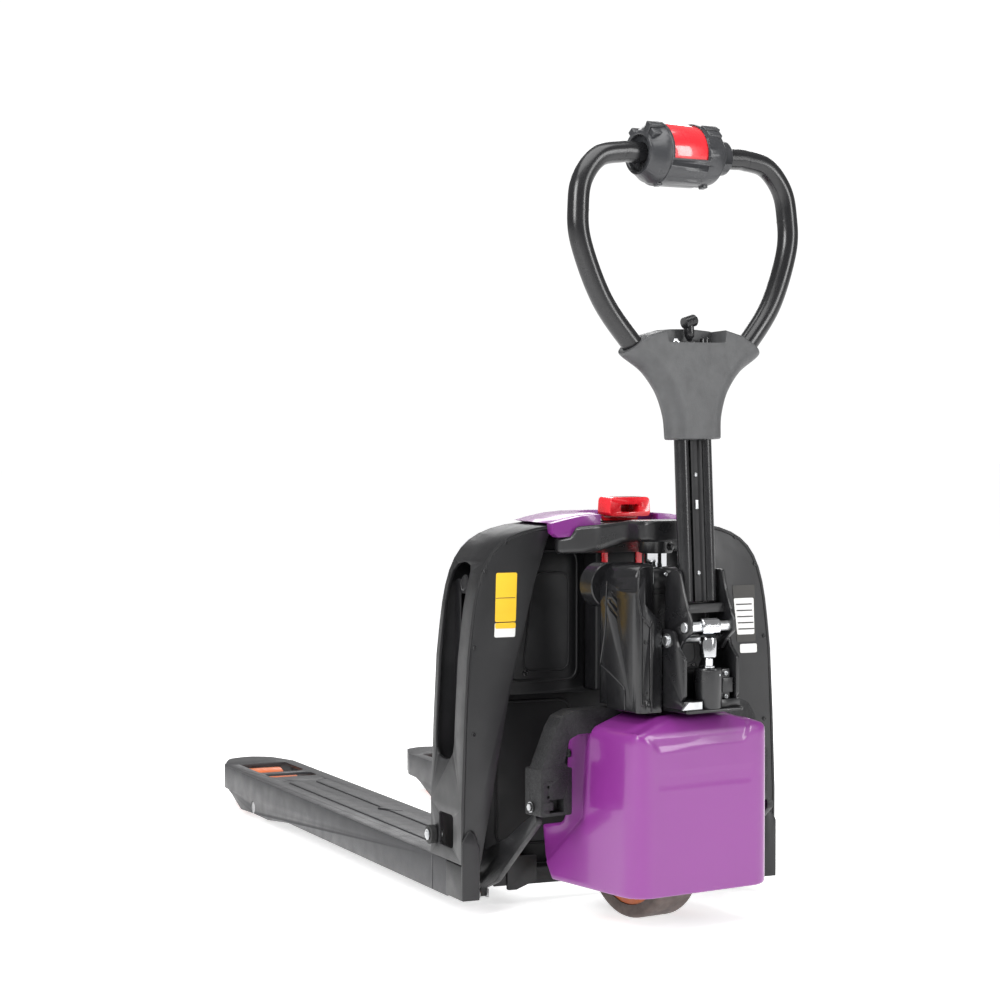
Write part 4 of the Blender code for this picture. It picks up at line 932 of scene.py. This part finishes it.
def make_tiller_foot():
    refined("tiller_bracket", "cast_black", 0.001, 3)
    turn = facing(0, CROSS_Y, CROSS_Z, (1, 0, 0))
    shaft = turned(both_ways([(0.0, -0.0466), (0.0067, -0.0466), (0.0078, -0.0456)]), turn)
    piece("cross_shaft_fine", shaft, "zinc_plate", "tiller", STEERED, ("cross_shaft",),
          slot="steel")
    ring = both_ways([(0.0084, -0.016), (0.0118, -0.016), (0.0128, -0.015)])
    piece("pump_roller_fine", turned(ring, turn), "chrome", "shaft_roller", STEERED, ("pump_roller",))


def make_tiller_column():
    foot, head = 0.499, 0.7425
    for word, side in SIDES:
        bar = turned([(0.0, foot), (0.0104, foot), (0.011, foot + 0.0006), (0.011, head),
                      (0.0, head)])
        piece("tiller_tube_fine_" + word, bar, "tube_black", "tiller",
              TILLER @ at(side * 0.022, 0), ("tiller_tube_" + word,))
    channel = rounded([(-0.0106, -0.008, 0), (-0.006, -0.008), (-0.0045, -0.0045),
                       (0.0045, -0.0045), (0.006, -0.008), (0.0106, -0.008, 0),
                       (0.0106, 0.006, 0), (-0.0106, 0.006, 0)], 0.0012, 3)
    on_tiller("cable_channel_fine", prism(channel, "XY", foot, head), "dull_plastic", "cable_channel")
    screws = [screw(0.0032, 0.0018, facing(0, -0.0046, z, (0, -1, 0)))
              for z in (0.542, 0.69)]
    clip = box((-0.003, -0.0062, 0.638), (0.003, -0.004, 0.652), 0.0008)
    on_tiller("channel_screws", merged(clip, *screws), "zinc_plate")


LOOP_HALF = [(0.082, 0.862), (0.109, 0.886), (0.162, 0.951), (0.197, 1.035), (0.1995, 1.09),
             (0.19, 1.13), (0.16, 1.1625), (0.118, 1.1715), (0.095, GRIP_Z), (0.05, GRIP_Z)]


def loop_path(steps):
    half = smooth_path([(x, 0.0, z) for x, z in LOOP_HALF], steps)
    return half + [(-x, y, z) for x, y, z in half[::-1]]


def make_handle():
    on_tiller("handle_loop_fine", tube(loop_path(12), TUBE_RADIUS, 10), "tube_black", "handle_loop")
    seams = []
    for side in (-1, 1):
        for x, z, lean in ((0.1995, 1.08, 0.05), (0.118, 1.1715, 1.5)):
            axis = (side * math.sin(lean), 0.0, math.cos(lean))
            seams.append(turned([(0.015, -0.0005), (0.01625, -0.0003), (0.01625, 0.0003),
                                 (0.015, 0.0005)], facing(side * x, 0, z, axis), 48))
    on_tiller("loop_seams", merged(*seams), "tube_black")


def make_tiller_cover():
    """The clamshell at the fork of the tubes: a flat face whose sides wrap the tubes."""
    radius = 0.0235
    wrap = smooth_path([(0.024, 0.72), (0.0245, 0.7475), (0.0276, 0.7834), (0.0426, 0.8238),
                        (0.0721, 0.8603), (0.1075, 0.8835), (0.1095, 0.8862)], 8)
    flat = outline_distance(mirrored(wrap + [(0.0885, 0.899), (0.05, 0.9085),
                                             (0.025, 0.9105), (0.0, 0.911)]))

    def along(x, z):
        nearest = np.full(x.shape, 1e9)
        for (a, b), (c, d) in zip(wrap, wrap[1:]):
            p, q = c - a, d - b
            share = np.clip(((x - a) * p + (z - b) * q) / (p * p + q * q + 1e-12), 0.0, 1.0)
            nearest = np.minimum(nearest, np.hypot(x - a - p * share, z - b - q * share))
        return nearest

    def shape(x, y, z):
        side = np.abs(x)
        body = blend_max(flat(x, z), np.abs(y) - radius, 0.0035)
        arm = np.hypot(along(side, z), y) - radius
        end = (side - 0.1095) * 0.595 + (z - 0.8862) * 0.8036
        return blend_max(blend_max(np.minimum(body, arm), end, 0.0022), 0.7432 - z, 0.003)

    cover = implicit(shape, (0.0, 0.0, 0.85), (0.11, 0.0235, 0.1), 90)
    recess = rounded([(-0.066, 0.93, 0), (0.058, 0.93, 0), (0.0505, 0.888), (-0.0575, 0.888)],
                     0.004)
    button_hole = turned([(0.0, 0.88), (0.0078, 0.88), (0.0078, 0.92), (0.0, 0.92)],
                         at(0.029, 0), 32)
    for tool in (tube(loop_path(6), TUBE_RADIUS + 0.0006, 6), prism(recess, "XZ", -0.03, 0.014),
                 box((-0.0048, -0.009, 0.882), (0.0048, 0.009, 0.92)), button_hole):
        cover = boolean(cover, tool)
    on_tiller("tiller_cover_fine", cover, "grey_plastic", "tiller_cover")
    rim = turned([(0.0125, 0.8878), (0.0125, 0.89), (0.0115, 0.891), (0.01, 0.891),
                  (0.0092, 0.89), (0.0092, 0.8878)], sides=40)
    on_tiller("knob_rim", rim, "black_plastic", slot="grey_plastic")


def make_small_controls():
    stem = turned([(0.0, 0.8862), (0.004, 0.8862), (0.004, 0.894), (0.007, 0.898),
                   (0.0078, 0.904), (0.0074, 0.915), (0.0, 0.918)], sides=40)
    grip = [(0.0, -0.011)]
    for x in (-0.011, -0.008, -0.005, -0.002, 0.001, 0.004, 0.007):
        grip += [(0.0086, x), (0.0092, x + 0.0008), (0.0092, x + 0.002), (0.0086, x + 0.0028)]
    grip += [(0.0086, 0.01), (0.007, 0.012), (0.0, 0.0124)]
    knob = merged(stem, placed(turned(grip, sides=40), facing(0.001, 0, 0.921, (0.96, 0, 0.28))))
    piece("release_knob_fine", knob, "black_plastic", "release_lever", TILLER, ("release_knob",))
    button = turned([(0.0, 0.8862), (0.0074, 0.8862), (0.0074, 0.8942), (0.0068, 0.896),
                     (0.0052, 0.897), (0.004, 0.8964), (0.0, 0.896)], at(0.029, 0), 40)
    piece("horn_button_fine", button, "black_plastic", "horn", TILLER, ("horn_button",))
    dome = turned([(0.0, 0.8881), (0.0075, 0.8881), (0.0075, 0.8905), (0.0066, 0.8915),
                   (0.0062, 0.8905), (0.0055, 0.8935), (0.0032, 0.8955), (0.0, 0.8962)],
                  at(-0.026, 0), 40)
    on_tiller("charge_indicator_fine", dome, "chrome", "charge_indicator")


def make_control_head():
    grip = facing(0, 0, GRIP_Z, (1, 0, 0))
    bore = TUBE_RADIUS + 0.0006
    body = [(bore, -0.08), (0.0265, -0.08), (0.0275, -0.086), (0.029, -0.087),
            (0.0325, -0.087), (0.0335, -0.0855), (0.0345, -0.082), (0.044, -0.067),
            (0.046, -0.059), (0.0465, -0.0545), (0.0452, -0.0538), (0.0452, -0.052),
            (0.0465, -0.0512), (0.0465, 0.03), (0.0455, 0.036), (0.0425, 0.046),
            (0.032, 0.057), (0.0285, 0.059), (0.0275, 0.0605), (0.0275, 0.064),
            (0.0262, 0.065), (0.0262, 0.074), (0.025, 0.0755), (bore, 0.0755)]
    head = turned(body, grip, 80)
    groove = turned([(0.03, -0.056), (0.0461, -0.056), (0.0461, 0.014), (0.03, 0.014)], grip, 80)
    window = turned([(0.045, -0.053), (0.07, -0.053), (0.07, 0.011), (0.045, 0.011)], grip, 80)
    shell = turned([(0.044, -0.0575), (0.047, -0.057), (0.048, -0.056), (0.048, 0.0145),
                    (0.047, 0.0155), (0.044, 0.016)], grip, 80)
    head = boolean(boolean(head, shell, "UNION"), groove)
    head = boolean(head, boolean(window, wedge(-15.0, 150.0), "INTERSECT"))
    ears = []
    for x, angle, width, reach in ((-0.069, 60.0, 0.015, 0.049), (0.033, 58.0, 0.015, 0.049),
                                   (-0.069, 42.0, 0.014, 0.044), (0.033, 42.0, 0.013, 0.047),
                                   (-0.066, 127.0, 0.013, 0.048), (0.04, 124.0, 0.012, 0.0475),
                                   (-0.056, -82.0, 0.005, 0.05), (0.03, -82.0, 0.005, 0.05)):
        ear = box((x - width, -0.006, 0.03), (x + width, 0.006, reach), 0.0018)
        ear.transform(at(0, 0, GRIP_Z) @ Matrix.Rotation(math.radians(90 - angle), 4, "X"))
        ears.append(ear)
    on_tiller("control_head_fine", merged(softened(head, 0.0005, 2), *ears), "head_plastic",
              "control_head", slot="dull_plastic")
    ring = [(0.031, -0.055), (0.0455, -0.055), (0.0458, -0.054), (0.0458, 0.012),
            (0.0455, 0.013), (0.031, 0.013)]
    piece("throttle_roller_fine", turned(ring, grip, 128), "red_plastic", "throttle", TILLER,
          ("throttle_roller",))


def wedge(first, last):
    """A sector round the grip's axis; angles run from the rear over the top."""
    outline = [(0.0, GRIP_Z)]
    for count in range(41):
        angle = math.radians(first + (last - first) * count / 40)
        outline.append((-0.12 * math.cos(angle), GRIP_Z + 0.12 * math.sin(angle)))
    return prism(outline[::-1], "YZ", -0.07, 0.07)


# ---------------- floor, light, camera

def make_stage():
    floor = bpy.data.materials.new("pale_floor")
    floor.use_nodes = True
    tree = floor.node_tree
    shader = tree.nodes["Principled BSDF"]
    shader.inputs["Specular IOR Level"].default_value = 0.1
    shader.inputs["Emission Color"].default_value = (1.0, 1.0, 1.0, 1.0)
    shader.inputs["Emission Strength"].default_value = 0.66
    clouds = add(tree, "TexNoise", {"Scale": 0.8, "Detail": 2.0})
    tone = add(tree, "ValToRGB")
    tone.color_ramp.elements[0].color = (0.88, 0.88, 0.88, 1.0)
    tone.color_ramp.elements[1].color = (0.9, 0.9, 0.9, 1.0)
    tree.links.new(clouds.outputs["Fac"], tone.inputs["Fac"])
    tree.links.new(tone.outputs["Color"], shader.inputs["Base Color"])
    shader.inputs["Roughness"].default_value = 0.75
    mesh = box((-30, -30, -0.05), (30, 30, -0.0002))
    mesh.materials.append(floor)
    obj = linked("floor", mesh)


def area_light(name, place, target, size, power):
    light = bpy.data.lights.new(name, "AREA")
    light.shape = "RECTANGLE"
    light.size, light.size_y = size
    light.energy = power
    obj = linked(name, light)
    obj.location = place
    obj.rotation_euler = (Vector(target) - Vector(place)).to_track_quat("-Z", "Y").to_euler()


def make_lights():
    world = bpy.data.worlds.new("studio")
    bpy.context.scene.world = world
    world.use_nodes = True
    tree = world.node_tree
    background = tree.nodes["Background"]
    background.inputs["Color"].default_value = (1.0, 1.0, 1.0, 1.0)
    path = add(tree, "LightPath")
    level = add(tree, "MapRange", {"To Min": 0.4, "To Max": 1.05})
    tree.links.new(path.outputs["Is Camera Ray"], level.inputs["Value"])
    gloss = add(tree, "MapRange", {"To Min": 1.0, "To Max": 0.7})
    tree.links.new(path.outputs["Is Glossy Ray"], gloss.inputs["Value"])
    strength = add(tree, "Math", operation="MULTIPLY")
    tree.links.new(level.outputs["Result"], strength.inputs[0])
    tree.links.new(gloss.outputs["Result"], strength.inputs[1])
    tree.links.new(strength.outputs["Value"], background.inputs["Strength"])
    area_light("key_left", (-3.2, -2.4, 2.4), (0, -0.3, 0.4), (1.4, 1.8), 110)
    area_light("fill_right", (2.4, -3.4, 1.7), (0, -0.4, 0.4), (0.9, 2.0), 60)
    area_light("overhead", (-0.4, -1.0, 3.4), (0, -0.3, 0.0), (3.0, 2.4), 90)
    area_light("rim_back", (1.6, 2.8, 2.2), (0, -0.2, 0.4), (2.4, 1.2), 40)


def make_camera():
    camera = bpy.data.cameras.new("camera")
    camera.lens = CAMERA_LENS
    camera.sensor_width = 36.0
    obj = linked("camera", camera)
    obj.location = CAMERA_PLACE
    obj.rotation_euler = CAMERA_TURN
    bpy.context.scene.camera = obj
    bpy.context.scene.view_settings.view_transform = "Standard"


make_camera()
make_forks()
make_chassis()
make_labels()
make_liner()
make_top_cover()
make_lift_arm()
make_battery()
make_column()
make_pump()
make_yoke()
make_drive()
make_drive_cover()
make_controller_cover()
make_tiller_foot()
make_tiller_column()
make_handle()
make_tiller_cover()
make_small_controls()
make_control_head()
make_stage()
make_lights()
